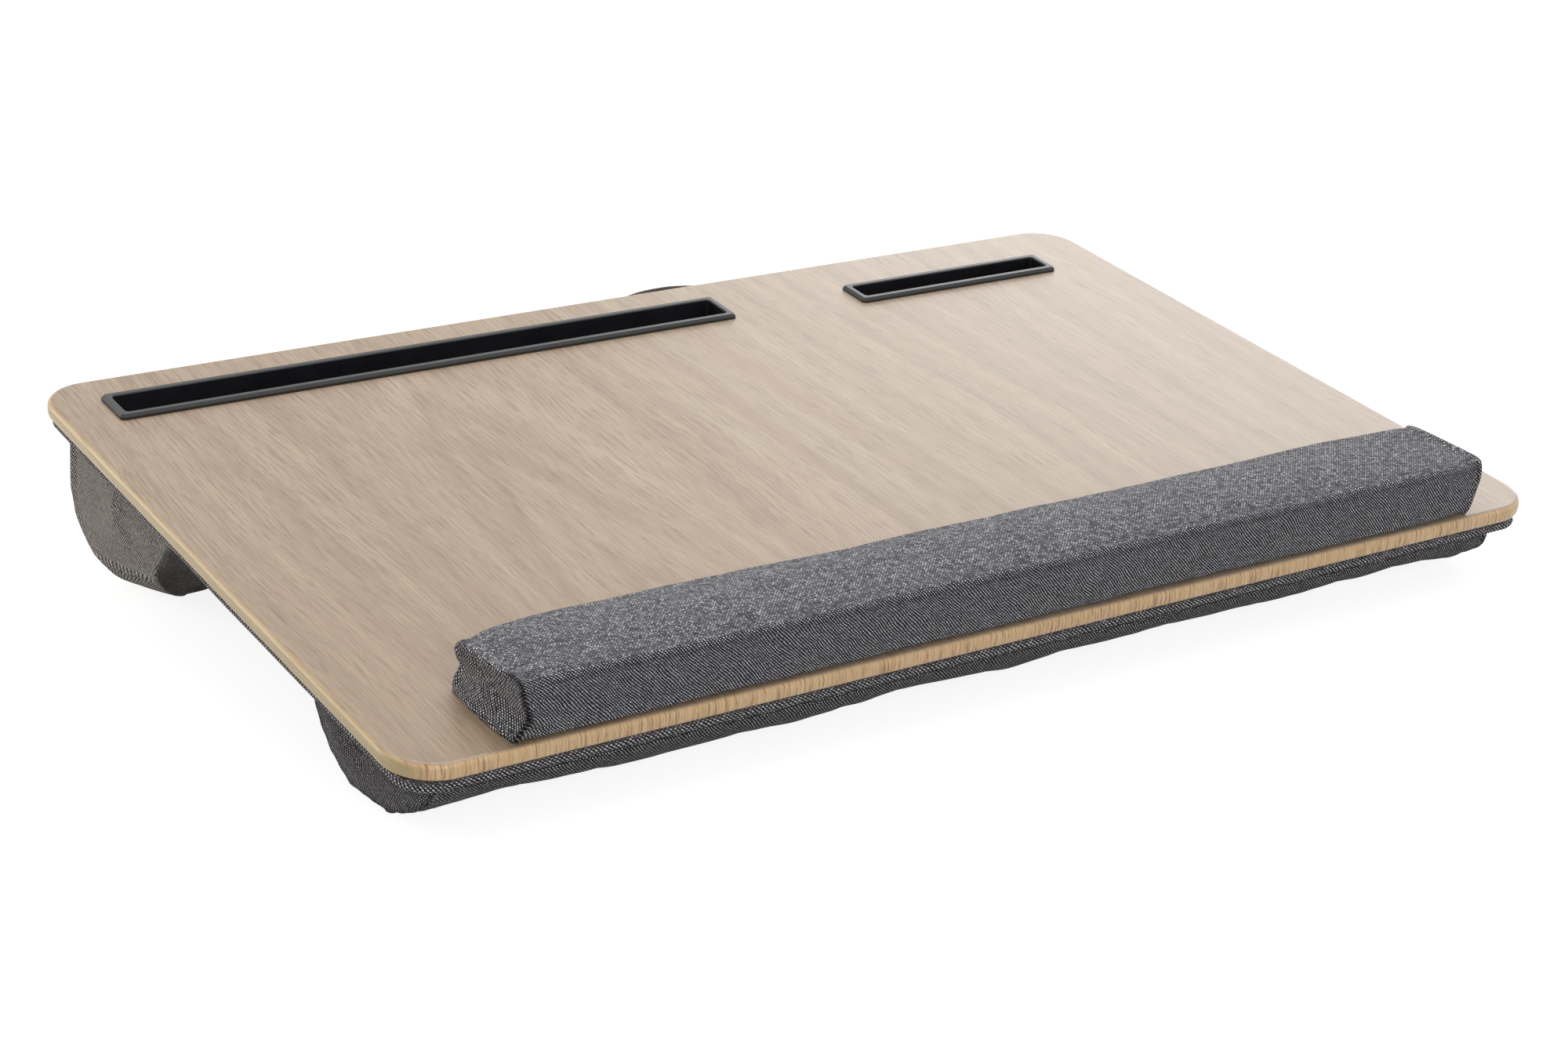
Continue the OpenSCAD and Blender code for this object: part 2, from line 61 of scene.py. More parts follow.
MM = 0.001

# The board's frame: X from the middle, Y from the front edge, Z from the top face, in mm
TILT = math.radians(8.9)
FRONT_H = 31.5
BOARD_W, BOARD_D, BOARD_T = 550.0, 352.0, 7.2
CT, ST = math.cos(TILT), math.sin(TILT)
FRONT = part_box("wood_film")[0][1] / MM - 0.68


def standing(p):
    """Points given as x from the middle, y from the board's front edge and z above the ground."""
    p = np.asarray(p, float)
    return (p + np.array([0, FRONT, 0])) * MM


def on_board(p):
    p = np.asarray(p, float)
    y = p[..., 1] * CT - p[..., 2] * ST
    z = p[..., 1] * ST + p[..., 2] * CT + FRONT_H
    return standing(np.stack([p[..., 0], y, z], -1))


class Graph:
    """Short calls that build a material's nodes."""

    def __init__(self, name):
        self.mat = bpy.data.materials.new(name)
        self.mat.use_nodes = True
        self.tree = self.mat.node_tree
        self.tree.nodes.clear()
        self.out = self.tree.nodes.new("ShaderNodeOutputMaterial")

    def node(self, kind, **settings):
        n = self.tree.nodes.new(kind)
        for key, value in settings.items():
            setattr(n, key, value)
        return n

    def put(self, socket, value):
        if isinstance(value, bpy.types.NodeSocket):
            self.tree.links.new(value, socket)
        else:
            socket.default_value = value

    def math(self, op, a, b=0.0):
        n = self.node("ShaderNodeMath", operation=op)
        self.put(n.inputs[0], a)
        self.put(n.inputs[1], b)
        return n.outputs[0]

    def add(self, a, b):
        return self.math("ADD", a, b)

    def sub(self, a, b):
        return self.math("SUBTRACT", a, b)

    def mul(self, a, b):
        return self.math("MULTIPLY", a, b)

    def floor(self, a):
        return self.math("FLOOR", a)

    def frac(self, a):
        return self.math("FRACT", a)

    def ramp(self, value, low, high, out_low=0.0, out_high=1.0):
        n = self.node("ShaderNodeMapRange")
        self.put(n.inputs["Value"], value)
        limits = {"From Min": low, "From Max": high, "To Min": out_low, "To Max": out_high}
        for key, v in limits.items():
            n.inputs[key].default_value = v
        return n.outputs[0]

    def split(self, vector):
        n = self.node("ShaderNodeSeparateXYZ")
        self.put(n.inputs[0], vector)
        return n.outputs[0], n.outputs[1], n.outputs[2]

    def join(self, x, y, z=0.0):
        n = self.node("ShaderNodeCombineXYZ")
        for socket, v in zip(n.inputs, (x, y, z)):
            self.put(socket, v)
        return n.outputs[0]

    def place(self):
        return self.node("ShaderNodeTexCoord").outputs["Object"]

    def noise(self, vector, scale=1.0, detail=2.0, rough=0.5):
        n = self.node("ShaderNodeTexNoise")
        self.put(n.inputs["Vector"], vector)
        n.inputs["Scale"].default_value = scale
        n.inputs["Detail"].default_value = detail
        n.inputs["Roughness"].default_value = rough
        return n.outputs[0]

    def white(self, vector):
        n = self.node("ShaderNodeTexWhiteNoise", noise_dimensions="3D")
        self.put(n.inputs["Vector"], vector)
        return n.outputs[0]

    def mix(self, factor, a, b):
        n = self.node("ShaderNodeMix", data_type="RGBA")
        self.put(n.inputs[0], factor)
        self.put(n.inputs[6], a)
        self.put(n.inputs[7], b)
        return n.outputs[2]

    def choose(self, factor, a, b):
        n = self.node("ShaderNodeMix", data_type="FLOAT")
        self.put(n.inputs[0], factor)
        self.put(n.inputs[2], a)
        self.put(n.inputs[3], b)
        return n.outputs[0]

    def bump(self, height, distance, strength):
        n = self.node("ShaderNodeBump")
        n.inputs["Strength"].default_value = strength
        n.inputs["Distance"].default_value = distance
        self.put(n.inputs["Height"], height)
        return n.outputs[0]

    def surface(self, color, rough, normal, **settings):
        n = self.node("ShaderNodeBsdfPrincipled")
        self.put(n.inputs["Base Color"], color)
        self.put(n.inputs["Roughness"], rough)
        self.put(n.inputs["Normal"], normal)
        for key, value in settings.items():
            n.inputs[key.replace("_", " ")].default_value = value
        self.tree.links.new(n.outputs[0], self.out.inputs[0])


def srgb(r, g, b):
    def one(v):
        v /= 255.0
        return v / 12.92 if v <= 0.04045 else ((v + 0.055) / 1.055) ** 2.4
    return (one(r), one(g), one(b), 1.0)


def oak():
    """Printed oak film: straight fine grain along the board, one faint cathedral, warmer edges with
    painted light in their tones, a painted reflection at the front left and a painted sheen towards the
    right.
    """
    g = Graph("oak_film")
    turn = g.node("ShaderNodeMapping", vector_type="TEXTURE")
    turn.inputs["Location"].default_value = (0, FRONT * MM, FRONT_H * MM)
    turn.inputs["Rotation"].default_value = (TILT, 0, 0)
    turn.inputs["Scale"].default_value = (MM, MM, MM)
    g.put(turn.inputs[0], g.place())
    x, y, z = g.split(turn.outputs[0])
    slow = g.noise(g.join(g.mul(x, 0.0075), g.mul(y, 0.0022)), 1.0, 2.0)
    x1 = g.add(x, g.mul(g.sub(slow, 0.5), 46.0))
    # the cathedral: rings bend round an axis that runs to the rear left
    from_axis = g.add(x1, 118.0)
    dx = g.math("DIVIDE", from_axis, 42.0)
    bell = g.math("EXPONENT", g.mul(g.mul(dx, dx), -1.0))
    dy = g.math("DIVIDE", g.sub(y, 130.0), 100.0)
    arch = g.mul(bell, g.mul(dy, 26.0))
    ring_at = g.add(g.math("ABSOLUTE", from_axis), arch)
    wave = g.math("SINE", g.mul(ring_at, 0.42))
    wave2 = g.math("SINE", g.add(g.mul(ring_at, 0.171), g.mul(slow, 9.0)))
    bands = g.noise(g.join(g.mul(x1, 0.055), g.mul(y, 0.0042)), 1.0, 3.0, 0.55)
    # the film wraps over the edge, so its lines run on down the sides
    wrap = g.add(x1, z)
    streak = g.noise(g.join(g.mul(wrap, 0.75), g.mul(y, 0.013)), 1.0, 3.0, 0.7)
    fine = g.noise(g.join(g.mul(wrap, 1.5), g.mul(y, 0.035)), 1.0, 2.0, 0.6)
    pores = g.noise(g.join(g.mul(wrap, 1.25), g.mul(y, 0.045), 3.0), 1.0, 2.0, 0.7)
    pore = g.ramp(pores, 0.50, 0.66)
    nx, ny, nz = g.split(g.node("ShaderNodeNewGeometry").outputs["Normal"])
    up = g.add(g.mul(nz, CT), g.mul(ny, -ST))
    edge = g.ramp(up, 0.97, 0.72)
    tone = g.add(g.add(g.mul(g.sub(streak, 0.5), 0.9), g.mul(g.sub(bands, 0.5), 0.5)),
                 g.add(g.mul(wave, 0.10), g.mul(wave2, 0.10)))
    tone = g.add(tone, g.mul(g.sub(fine, 0.5), 1.6))
    flat = g.mix(g.ramp(tone, -0.58, 0.58), srgb(148, 122, 98), srgb(197, 177, 151))
    pink = g.noise(g.join(g.mul(x1, 0.05), g.mul(y, 0.006), 7.0), 1.0, 2.0)
    flat = g.mix(g.mul(g.ramp(pink, 0.45, 0.75), 0.5), flat, srgb(178, 150, 128))
    flat = g.mix(g.mul(pore, 0.55), flat, srgb(122, 96, 75))
    # painted reflection: the film is painted browner towards the front left, where it mirrors the dark
    # wrist rest, and a painted sheen makes it paler towards the right
    painted_rest_reflection = g.mul(g.ramp(x, -60.0, -260.0), g.ramp(y, 190.0, 0.0))
    flat = g.mix(g.mul(painted_rest_reflection, 0.4), flat, srgb(158, 130, 100))
    painted_sheen = g.ramp(x, -60.0, 300.0, 0.0, 0.35)
    flat = g.mix(painted_sheen, flat, srgb(190, 180, 168))
    vein = g.noise(g.join(g.mul(x1, 0.95), g.mul(y, 0.03), g.mul(z, 0.06)), 1.0, 3.0, 0.7)
    # the edges' tones are partly the film's warmer wrapped edge and partly painted light: the front
    # edge is painted lighter against its shade, and the left and right edges get their own darker tone
    # against the side light
    front = g.mix(g.ramp(vein, 0.36, 0.62), srgb(252, 216, 168), srgb(218, 176, 126))
    front = g.mix(g.mul(g.ramp(vein, 0.55, 0.61), 0.62), front, srgb(146, 104, 68))
    flank = g.mix(g.ramp(streak, 0.3, 0.7), srgb(186, 160, 112), srgb(212, 190, 142))
    side = g.mix(g.ramp(g.math("ABSOLUTE", nx), 0.45, 0.8), front, flank)
    color = g.mix(edge, flat, side)
    rough = g.add(0.40, g.mul(g.sub(fine, 0.5), 0.16))
    height = g.add(g.mul(fine, 0.5), g.mul(pore, -0.5))
    g.surface(color, rough, g.bump(height, 0.00006, 0.8), Coat_Weight=0.2, Coat_Roughness=0.22)
    return g.mat


def fibreboard():
    g = Graph("fibreboard")
    n = g.noise(g.place(), 900.0, 4.0, 0.7)
    color = g.mix(g.ramp(n, 0.3, 0.7), srgb(146, 116, 82), srgb(184, 152, 112))
    g.surface(color, 0.85, g.bump(n, 0.0002, 0.6))
    return g.mat


def backing():
    g = Graph("backing_paper")
    n = g.noise(g.place(), 350.0, 5.0, 0.65)
    color = g.mix(g.ramp(n, 0.3, 0.7), srgb(70, 66, 62), srgb(104, 99, 92))
    g.surface(color, 0.7, g.bump(n, 0.00008, 0.5))
    return g.mat


def moulded():
    """Satin black plastic with a fine spark texture."""
    g = Graph("black_plastic")
    place = g.place()
    n = g.noise(place, 1500.0, 3.0, 0.6)
    soft = g.noise(place, 60.0, 2.0, 0.5)
    color = g.mix(g.ramp(soft, 0.3, 0.7), srgb(20, 21, 24), srgb(29, 30, 33))
    rough = g.add(0.30, g.mul(soft, 0.10))
    g.surface(color, rough, g.bump(n, 0.00003, 0.5), Specular_IOR_Level=0.6)
    return g.mat


def woven(name, dark, light, warp=0.68, weft=0.74, slub=0.75, float_size=0.52):
    """Melange plain weave on UV given in millimetres: slanted light weft floats on dark warp."""
    g = Graph(name)
    uv = g.node("ShaderNodeUVMap", uv_map="UVMap").outputs[0]
    u, v, _ = g.split(uv)
    up = g.split(g.node("ShaderNodeNewGeometry").outputs["Normal"])[2]
    # upper faces get painted light and shade by facing: their floats are painted duller and their gaps
    # greyer than on front faces, and their floats spread and vary more
    facing_up_painted_light = g.ramp(up, 0.45, 0.95)
    # threads wander a little, so the rows aren't ruled
    wander = g.noise(g.join(g.mul(u, 0.05), g.mul(v, 0.05)), 1.0, 2.0)
    wob = g.mul(g.sub(wander, 0.5), 3.0)
    shake = g.noise(g.join(g.mul(u, 0.9), g.mul(v, 0.9), 5.0), 1.0, 1.0)
    wob = g.add(wob, g.mul(g.sub(shake, 0.5), g.add(0.25, g.mul(facing_up_painted_light, 0.75))))
    cu = g.math("DIVIDE", g.add(u, wob), warp)
    cv = g.math("DIVIDE", g.sub(v, wob), weft)
    iu, iv = g.floor(cu), g.floor(cv)
    fu, fv = g.sub(g.frac(cu), 0.5), g.sub(g.frac(cv), 0.5)
    over = g.math("LESS_THAN", g.frac(g.mul(g.add(iu, iv), 0.5)), 0.25)
    own = g.white(g.join(iu, iv, 1.0))
    # each float is a slanted grain, longer along the weft than across it
    vary = g.mul(g.sub(own, 0.5), g.add(0.12, g.mul(facing_up_painted_light, 0.3)))
    size = g.add(g.add(float_size, g.mul(facing_up_painted_light, 0.08)), vary)
    along = g.sub(fu, g.mul(fv, 0.6))
    grain = g.math("SQRT", g.add(g.mul(along, along), g.mul(g.mul(fv, fv), 1.75)))
    cover = g.sub(size, grain)
    lit = g.ramp(cover, -0.02, 0.13)
    strand = g.math("SQRT", g.add(g.mul(g.mul(fu, fu), 2.4), g.mul(fv, fv)))
    warp_crown_and_highlight = g.ramp(strand, 0.5, 0.12, 0.0, 0.5)
    height = g.choose(over, g.ramp(cover, -0.05, 0.4), g.mul(warp_crown_and_highlight, 0.9))
    # each yarn changes tone along its length, and short slubs run darker
    yarn = g.noise(g.join(g.mul(u, 0.12), g.mul(iv, 7.31)), 1.0, 2.0, 0.6)
    slubs = g.noise(g.join(g.mul(u, 0.22), g.mul(iv, 3.17), 6.0), 1.0, 1.0)
    end_yarn = g.noise(g.join(g.mul(iu, 5.17), g.mul(v, 0.10), 4.0), 1.0, 2.0, 0.6)
    mottle = g.add(0.35, g.mul(facing_up_painted_light, 0.65))
    t_weft = g.add(g.mul(g.sub(own, 0.5), 0.6), g.mul(g.sub(yarn, 0.5), 1.5))
    # painted light and shade by facing: floats on upper faces are painted duller, and the gaps there
    # greyer
    t_weft = g.add(g.sub(0.92, g.mul(facing_up_painted_light, 0.2)), g.mul(t_weft, mottle))
    t_weft = g.mul(t_weft, g.sub(1.0, g.mul(g.ramp(slubs, 0.56, 0.66), g.mul(mottle, slub))))
    t_weft = g.mul(t_weft, g.sub(1.0, g.mul(facing_up_painted_light, 0.36)))
    # painted highlight: each warp thread is painted lighter along its middle and dark at its sides
    t_warp = g.mul(g.ramp(end_yarn, 0.4, 0.75, 0.05, 0.5), warp_crown_and_highlight)
    t_warp = g.add(t_warp, g.mul(facing_up_painted_light, g.mul(end_yarn, 0.16)))
    tone = g.choose(over, g.add(g.mul(t_weft, lit), g.mul(facing_up_painted_light, 0.06)), t_warp)
    color = g.mix(g.math("MINIMUM", g.math("MAXIMUM", tone, 0.0), 1.0), dark, light)
    # painted shade: seams and the folds beside them are darkened towards near black
    seam = g.node("ShaderNodeAttribute", attribute_name="seam").outputs["Fac"]
    color = g.mix(g.mul(seam, 0.8), color, srgb(14, 12, 17))
    fuzz = g.noise(g.join(g.mul(u, 3.1), g.mul(v, 3.1)), 1.0, 3.0, 0.7)
    bump = g.bump(g.add(height, g.mul(fuzz, 0.2)), 0.00025, 0.8)
    g.surface(color, 0.9, bump, Sheen_Weight=0.06, Sheen_Roughness=0.5, Specular_IOR_Level=0.15)
    return g.mat


def webbing():
    """Dark strap: lengthwise ribs with a faint chevron, painted lighter on the ribs and darker in the
    grooves.
    """
    g = Graph("strap")
    u, v, _ = g.split(g.node("ShaderNodeUVMap", uv_map="UVMap").outputs[0])
    rib = g.math("SINE", g.mul(v, 2 * math.pi / 1.6))
    fold = g.math("ABSOLUTE", g.sub(g.frac(g.mul(v, 1 / 3.2)), 0.5))
    chev = g.math("SINE", g.add(g.mul(u, 2 * math.pi / 1.1), g.mul(fold, 9.0)))
    height = g.add(g.mul(rib, 0.35), g.mul(chev, 0.35))
    n = g.noise(g.join(g.mul(u, 0.9), g.mul(v, 2.2)), 1.0, 3.0, 0.6)
    # painted light: the raised ribs are painted lighter and the grooves between them darker, over a
    # random tone
    tone = g.add(g.ramp(height, -0.6, 0.6, 0.1, 0.8), g.mul(g.sub(n, 0.5), 0.5))
    color = g.mix(tone, srgb(38, 33, 32), srgb(96, 82, 79))
    g.surface(color, 0.62, g.bump(g.add(height, g.mul(n, 0.3)), 0.00018, 0.8), Sheen_Weight=0.2)
    return g.mat


def thread(name, color):
    g = Graph(name)
    n = g.noise(g.place(), 2500.0, 2.0, 0.6)
    dark = tuple(c * 0.55 for c in color[:3]) + (1.0,)
    g.surface(g.mix(g.ramp(n, 0.35, 0.65), dark, color), 0.8, g.bump(n, 0.00005, 0.6))
    return g.mat


def plain(name, a, b, scale, rough, depth):
    g = Graph(name)
    n = g.noise(g.place(), scale, 4.0, 0.65)
    g.surface(g.mix(g.ramp(n, 0.3, 0.7), a, b), rough, g.bump(n, depth, 0.7))
    return g.mat


def steel():
    g = Graph("staple_steel")
    n = g.noise(g.place(), 1800.0, 3.0, 0.6)
    g.surface(g.mix(n, srgb(150, 150, 152), srgb(200, 200, 203)), g.ramp(n, 0.3, 0.7, 0.25, 0.42),
              g.bump(n, 0.00002, 0.4), Metallic=1.0)
    return g.mat


REST = woven("rest_fabric", srgb(21, 19, 27), srgb(250, 250, 255))
BOLSTER = woven("bolster_fabric", srgb(20, 18, 22), srgb(214, 212, 214), slub=0.4)
REAR_CLOTH = woven("bolster_fabric_rear", srgb(52, 47, 44), srgb(255, 249, 240), slub=0.35,
                   float_size=0.62)
BASE = woven("base_fabric", srgb(24, 22, 28), srgb(244, 244, 248), 0.95, 0.85, slub=0.4,
             float_size=0.57)
STRAP = webbing()
STITCH = thread("seam_thread", srgb(172, 168, 165))

for nodes, material in (
    (("wood_film",), oak()),
    (("board_core",), fibreboard()),
    (("board_backing",), backing()),
    (("tablet_tray", "phone_tray"), moulded()),
    (("hook_strips", "loop_strips"),
     plain("hook_tape", srgb(26, 26, 28), srgb(52, 52, 55), 1400.0, 0.75, 0.0004)),
    (("wrist_rest_tape",), plain("tape", srgb(190, 190, 184), srgb(214, 214, 208), 300.0, 0.5, 0.0001)),
    (("base_panel",), plain("hardboard", srgb(112, 84, 58), srgb(148, 116, 82), 500.0, 0.8, 0.0001)),
    (("strap_staples",), steel()),
):
    for node in nodes:
        frame["nodes"][node].data.materials.clear()
        frame["nodes"][node].data.materials.append(material)


def new_mesh(name, points, faces, material, uv=None, smooth=True):
    """Object from points in metres; uv is one (u, v) in mm per face corner, in face order."""
    mesh = bpy.data.meshes.new(name)
    mesh.from_pydata([tuple(p) for p in points], [], faces)
    mesh.validate()
    if uv is not None:
        layer = mesh.uv_layers.new(name="UVMap")
        layer.data.foreach_set("uv", np.asarray(uv, np.float32).ravel())
    if smooth:
        mesh.polygons.foreach_set("use_smooth", [True] * len(mesh.polygons))
    mesh.materials.append(material)
    mesh.update()
    obj = bpy.data.objects.new(name, mesh)
    bpy.context.scene.collection.objects.link(obj)
    return obj


def read_points(obj):
    co = np.empty(len(obj.data.vertices) * 3, np.float32)
    obj.data.vertices.foreach_get("co", co)
    return co.reshape(-1, 3).astype(float)


def write_points(obj, co):
    obj.data.vertices.foreach_set("co", np.asarray(co, np.float32).ravel())
    obj.data.update()


def read_normals(obj):
    n = np.empty(len(obj.data.vertices) * 3, np.float32)
    obj.data.vertices.foreach_get("normal", n)
    return n.reshape(-1, 3).astype(float)


def apply_modifiers(obj):
    """Puts what the modifiers make into the mesh, at the current frame."""
    dg = bpy.context.evaluated_depsgraph_get()
    mesh = bpy.data.meshes.new_from_object(obj.evaluated_get(dg), preserve_all_data_layers=True,
                                           depsgraph=dg)
    obj.modifiers.clear()
    old = obj.data
    obj.data = mesh
    bpy.data.meshes.remove(old)


def subdivide(obj):
    m = obj.modifiers.new("s", "SUBSURF")
    m.levels = m.render_levels = 1
    m.uv_smooth = "PRESERVE_BOUNDARIES"
    bpy.context.view_layer.update()
    apply_modifiers(obj)


def set_value(obj, name, values):
    a = obj.data.attributes.get(name) or obj.data.attributes.new(name, "FLOAT", "POINT")
    a.data.foreach_set("value", np.asarray(values, np.float32))


def get_value(obj, name):
    a = obj.data.attributes[name]
    out = np.empty(len(a.data), np.float32)
    a.data.foreach_get("value", out)
    return out.astype(float)


STUFF_FRAMES = 20


def inflate(obj, pin, pressure, cap, grow=0.0):
    """Stuffs a closed mesh by a short cloth simulation and keeps each point within cap mm."""
    scene = bpy.context.scene
    start = read_points(obj)
    group = obj.vertex_groups.new(name="pin")
    for i, w in enumerate(pin):
        if w > 0:
            group.add([i], float(w), "REPLACE")
    m = obj.modifiers.new("cloth", "CLOTH")
    s = m.settings
    s.quality = 6
    s.mass = 0.12
    s.tension_stiffness = s.compression_stiffness = 28
    s.shear_stiffness = 9
    s.bending_stiffness = 1.6
    s.use_pressure = True
    s.uniform_pressure_force = pressure
    s.shrink_min = -grow
    s.vertex_group_mass = "pin"
    s.effector_weights.gravity = 0
    m.collision_settings.use_collision = False
    m.collision_settings.use_self_collision = False
    m.point_cache.frame_start, m.point_cache.frame_end = 1, STUFF_FRAMES
    for f in range(1, STUFF_FRAMES + 1):
        scene.frame_set(f)
    apply_modifiers(obj)
    moved = read_points(obj) - start
    size = np.linalg.norm(moved, axis=1, keepdims=True)
    soft = cap * MM * np.tanh(size / (cap * MM))
    write_points(obj, start + moved * np.where(size > 1e-9, soft / np.maximum(size, 1e-9), 0))
    obj.vertex_groups.clear()
    scene.frame_set(1)


def waves(co, size, seed):
    """Smooth noise between -1 and 1 at each point, with bumps of about size mm."""
    off = Vector((seed * 17.3, seed * 5.1, seed * 9.7))
    return np.array([noise.noise(Vector(p / (size * MM)) + off) for p in co])


def bez(a, b, c, d, n):
    t = np.linspace(0, 1, n, endpoint=False)[:, None]
    a, b, c, d = (np.asarray(p, float) for p in (a, b, c, d))
    return a * (1 - t) ** 3 + 3 * b * t * (1 - t) ** 2 + 3 * c * t * t * (1 - t) + d * t ** 3


def line(a, b, n):
    t = np.linspace(0, 1, n, endpoint=False)[:, None]
    return np.asarray(a, float) * (1 - t) + np.asarray(b, float) * t


# a distance past every seam's reach, and where the two ends' faces lie in u
FAR = 99.0
CAP_U_LOW, CAP_U_HIGH = 900.0, 1700.0


def shrunk(ring, share, dx):
    """A ring drawn towards its middle and moved by dx along X."""
    c = ring.mean(0)
    out = c + (ring - c) * share
    out[:, 0] = ring[:, 0] * share + c[0] * (1 - share) + dx
    return out


def loft(name, xs, section, place, material, caps, corner_s):
    """Cushion over sections along X. section(x) gives the same number of (x, y, z) points each
    time, and caps is a list of (share, dx) rings that close each end. corner_s holds the indices of
    the section's sewn corners. Returns the object; u runs along X and v round the section, in mm."""
    rings = [section(x) for x in xs]
    n = len(rings[0])
    low, high = rings[0], rings[-1]
    all_rings = ([shrunk(low, share, -dx) for share, dx in caps[::-1]] + rings
                 + [shrunk(high, share, dx) for share, dx in caps])
    k = len(caps)
    points = np.concatenate(all_rings + [all_rings[0].mean(0)[None], all_rings[-1].mean(0)[None]])
    # arc length round the middle section gives v
    mid = rings[len(rings) // 2][:, 1:]
    step = np.linalg.norm(np.roll(mid, -1, 0) - mid, axis=1)
    arc = np.concatenate([[0], np.cumsum(step)])
    faces, uv = [], []
    total = len(all_rings)

    def cap_uv(corners, side):
        return [(points[q][1] + side, points[q][2]) for q in corners]
    for i in range(total - 1):
        for j in range(n):
            jj = (j + 1) % n
            quad = [i * n + j, (i + 1) * n + j, (i + 1) * n + jj, i * n + jj]
            faces.append(quad)
            if k <= i < total - 1 - k:
                xa, xb = all_rings[i][j, 0], all_rings[i + 1][j, 0]
                uv += [(xa, arc[j]), (xb, arc[j]), (xb, arc[j + 1]), (xa, arc[j + 1])]
            else:
                uv += cap_uv(quad, CAP_U_LOW if i < k else CAP_U_HIGH)
    for end, tip in ((0, total * n), (total - 1, total * n + 1)):
        for j in range(n):
            jj = (j + 1) % n
            tri = [tip, end * n + j, end * n + jj] if end == 0 else [tip, end * n + jj, end * n + j]
            faces.append(tri)
            uv += cap_uv(tri, CAP_U_LOW if end == 0 else CAP_U_HIGH)
    obj = new_mesh(name, place(points), faces, material, uv)
    # distances along the skin: to the end seams and to the section's corners
    index = np.concatenate([np.tile(np.arange(n), total), [0, 0]])
    ring_of = np.concatenate([np.repeat(np.arange(total), n), [0, total - 1]])
    to_corner = np.full(len(points), FAR)
    for c in corner_s:
        d = np.abs(arc[index] - arc[c])
        to_corner = np.minimum(to_corner, np.minimum(d, arc[-1] - d))
    is_cap = (ring_of < k) | (ring_of >= total - k)
    to_end = np.empty(len(points))
    for q in range(len(points)):
        if is_cap[q] or q >= total * n:
            rim = low if ring_of[q] < total / 2 else high
            to_end[q] = np.linalg.norm(rim[:, 1:] - points[q, 1:], axis=1).min()
        else:
            to_end[q] = min(points[q, 0] - low[index[q], 0], high[index[q], 0] - points[q, 0])
    set_value(obj, "corner", np.where(is_cap, FAR, to_corner))
    set_value(obj, "end", to_end)
    set_value(obj, "arc", arc[index])
    set_value(obj, "cap", is_cap.astype(float))
    return obj


def seam_detail(obj, corner_groove, end_groove, pucker, pitch):
    """Presses a stitched line into the skin and gathers the cloth beside it."""
    co, nor = read_points(obj), read_normals(obj)
    corner, end, arc = get_value(obj, "corner"), get_value(obj, "end"), get_value(obj, "arc")
    x = co[:, 0] / MM
    wob = waves(co, 25, 3) * 2.5
    push = -end_groove * np.exp(-(end / 1.6) ** 2) - corner_groove * np.exp(-(corner / 1.6) ** 2)
    push += 0.35 * end_groove * np.exp(-((end - 4.0) / 2.4) ** 2)
    push += 0.35 * corner_groove * np.exp(-((corner - 4.0) / 2.4) ** 2)

    def gathers(along, wavelength, away, fade):
        wave = np.sin(2 * np.pi * (along + wob) / wavelength)
        return wave * np.exp(-away / fade) * np.clip(away / 1.5, 0, 1)
    gather_e, gather_c = gathers(arc, pitch, end, 6.0), gathers(x, pitch * 1.5, corner, 5.0)
    push += pucker * gather_e + 0.5 * pucker * gather_c
    write_points(obj, co + nor * (push * MM)[:, None])


def shade_seam(obj, rule):
    """Keeps how much painted shade each point gets at its seams and creases; rule takes places, end and
    corner distances in mm.
    """
    set_value(obj, "seam", rule(read_points(obj), get_value(obj, "end"), get_value(obj, "corner")))


# a stitch in mm, and its rings as (place from its middle, share of its radius)
STITCH_PITCH, STITCH_L, STITCH_R, STITCH_LIFT, STITCH_SINK = 3.4, 2.2, 0.22, 0.02, 0.22
STITCH_ROUNDS = [(-1.0, 0.35), (-0.82, 0.85), (-0.4, 1.0), (0.4, 1.0), (0.82, 0.85), (1.0, 0.35)]
STITCH_SIDES = 6


def stitches(name, path, normals):
    """Thread stitches as small rounded bars that lie along a path; path and normals in metres."""
    seg = np.linalg.norm(np.diff(path, axis=0), axis=1)
    at = np.concatenate([[0], np.cumsum(seg)]) / MM
    points, faces = [], []
    m = STITCH_SIDES

    def where(s, rows=path):
        return np.array([np.interp(s, at, rows[:, k]) for k in range(3)])

    def unit(v):
        return v / (np.linalg.norm(v) + 1e-9)
    for i in range(int((at[-1] - STITCH_L) / STITCH_PITCH)):
        c = (i + 0.5) * STITCH_PITCH
        p0, p1 = where(c - STITCH_L / 2), where(c + STITCH_L / 2)
        nrm = unit(where(c, normals))
        d = unit(p1 - p0)
        side = unit(np.cross(nrm, d))
        up = np.cross(d, side)
        mid = (p0 + p1) / 2 + nrm * STITCH_LIFT * MM
        base = len(points)
        for t, r in STITCH_ROUNDS:
            sink = -STITCH_SINK * t * t * MM
            for a in range(m):
                ang = 2 * math.pi * a / m
                points.append(mid + d * (t * STITCH_L / 2 * MM) + nrm * sink
                              + (side * math.cos(ang) + up * math.sin(ang)) * STITCH_R * r * MM)
        for q in range(len(STITCH_ROUNDS) - 1):
            for a in range(m):
                b = (a + 1) % m
                i0, i1 = base + q * m, base + (q + 1) * m
                faces.append([i0 + a, i0 + b, i1 + b, i1 + a])
        faces.append([base + a for a in range(m - 1, -1, -1)])
        last = base + (len(STITCH_ROUNDS) - 1) * m
        faces.append([last + a for a in range(m)])
    return new_mesh(name, points, faces, STITCH)


# Wrist rest: crowned box cushion on the board
REST_FRONT, REST_BACK, REST_H, REST_CROWN, REST_BULGE = 3.0, 48.0, 25.0, 2.8, 1.8
REST_HALF, REST_PINCH, REST_TAPER, REST_DROP = 236.5, 3.0, 6.0, 5.0
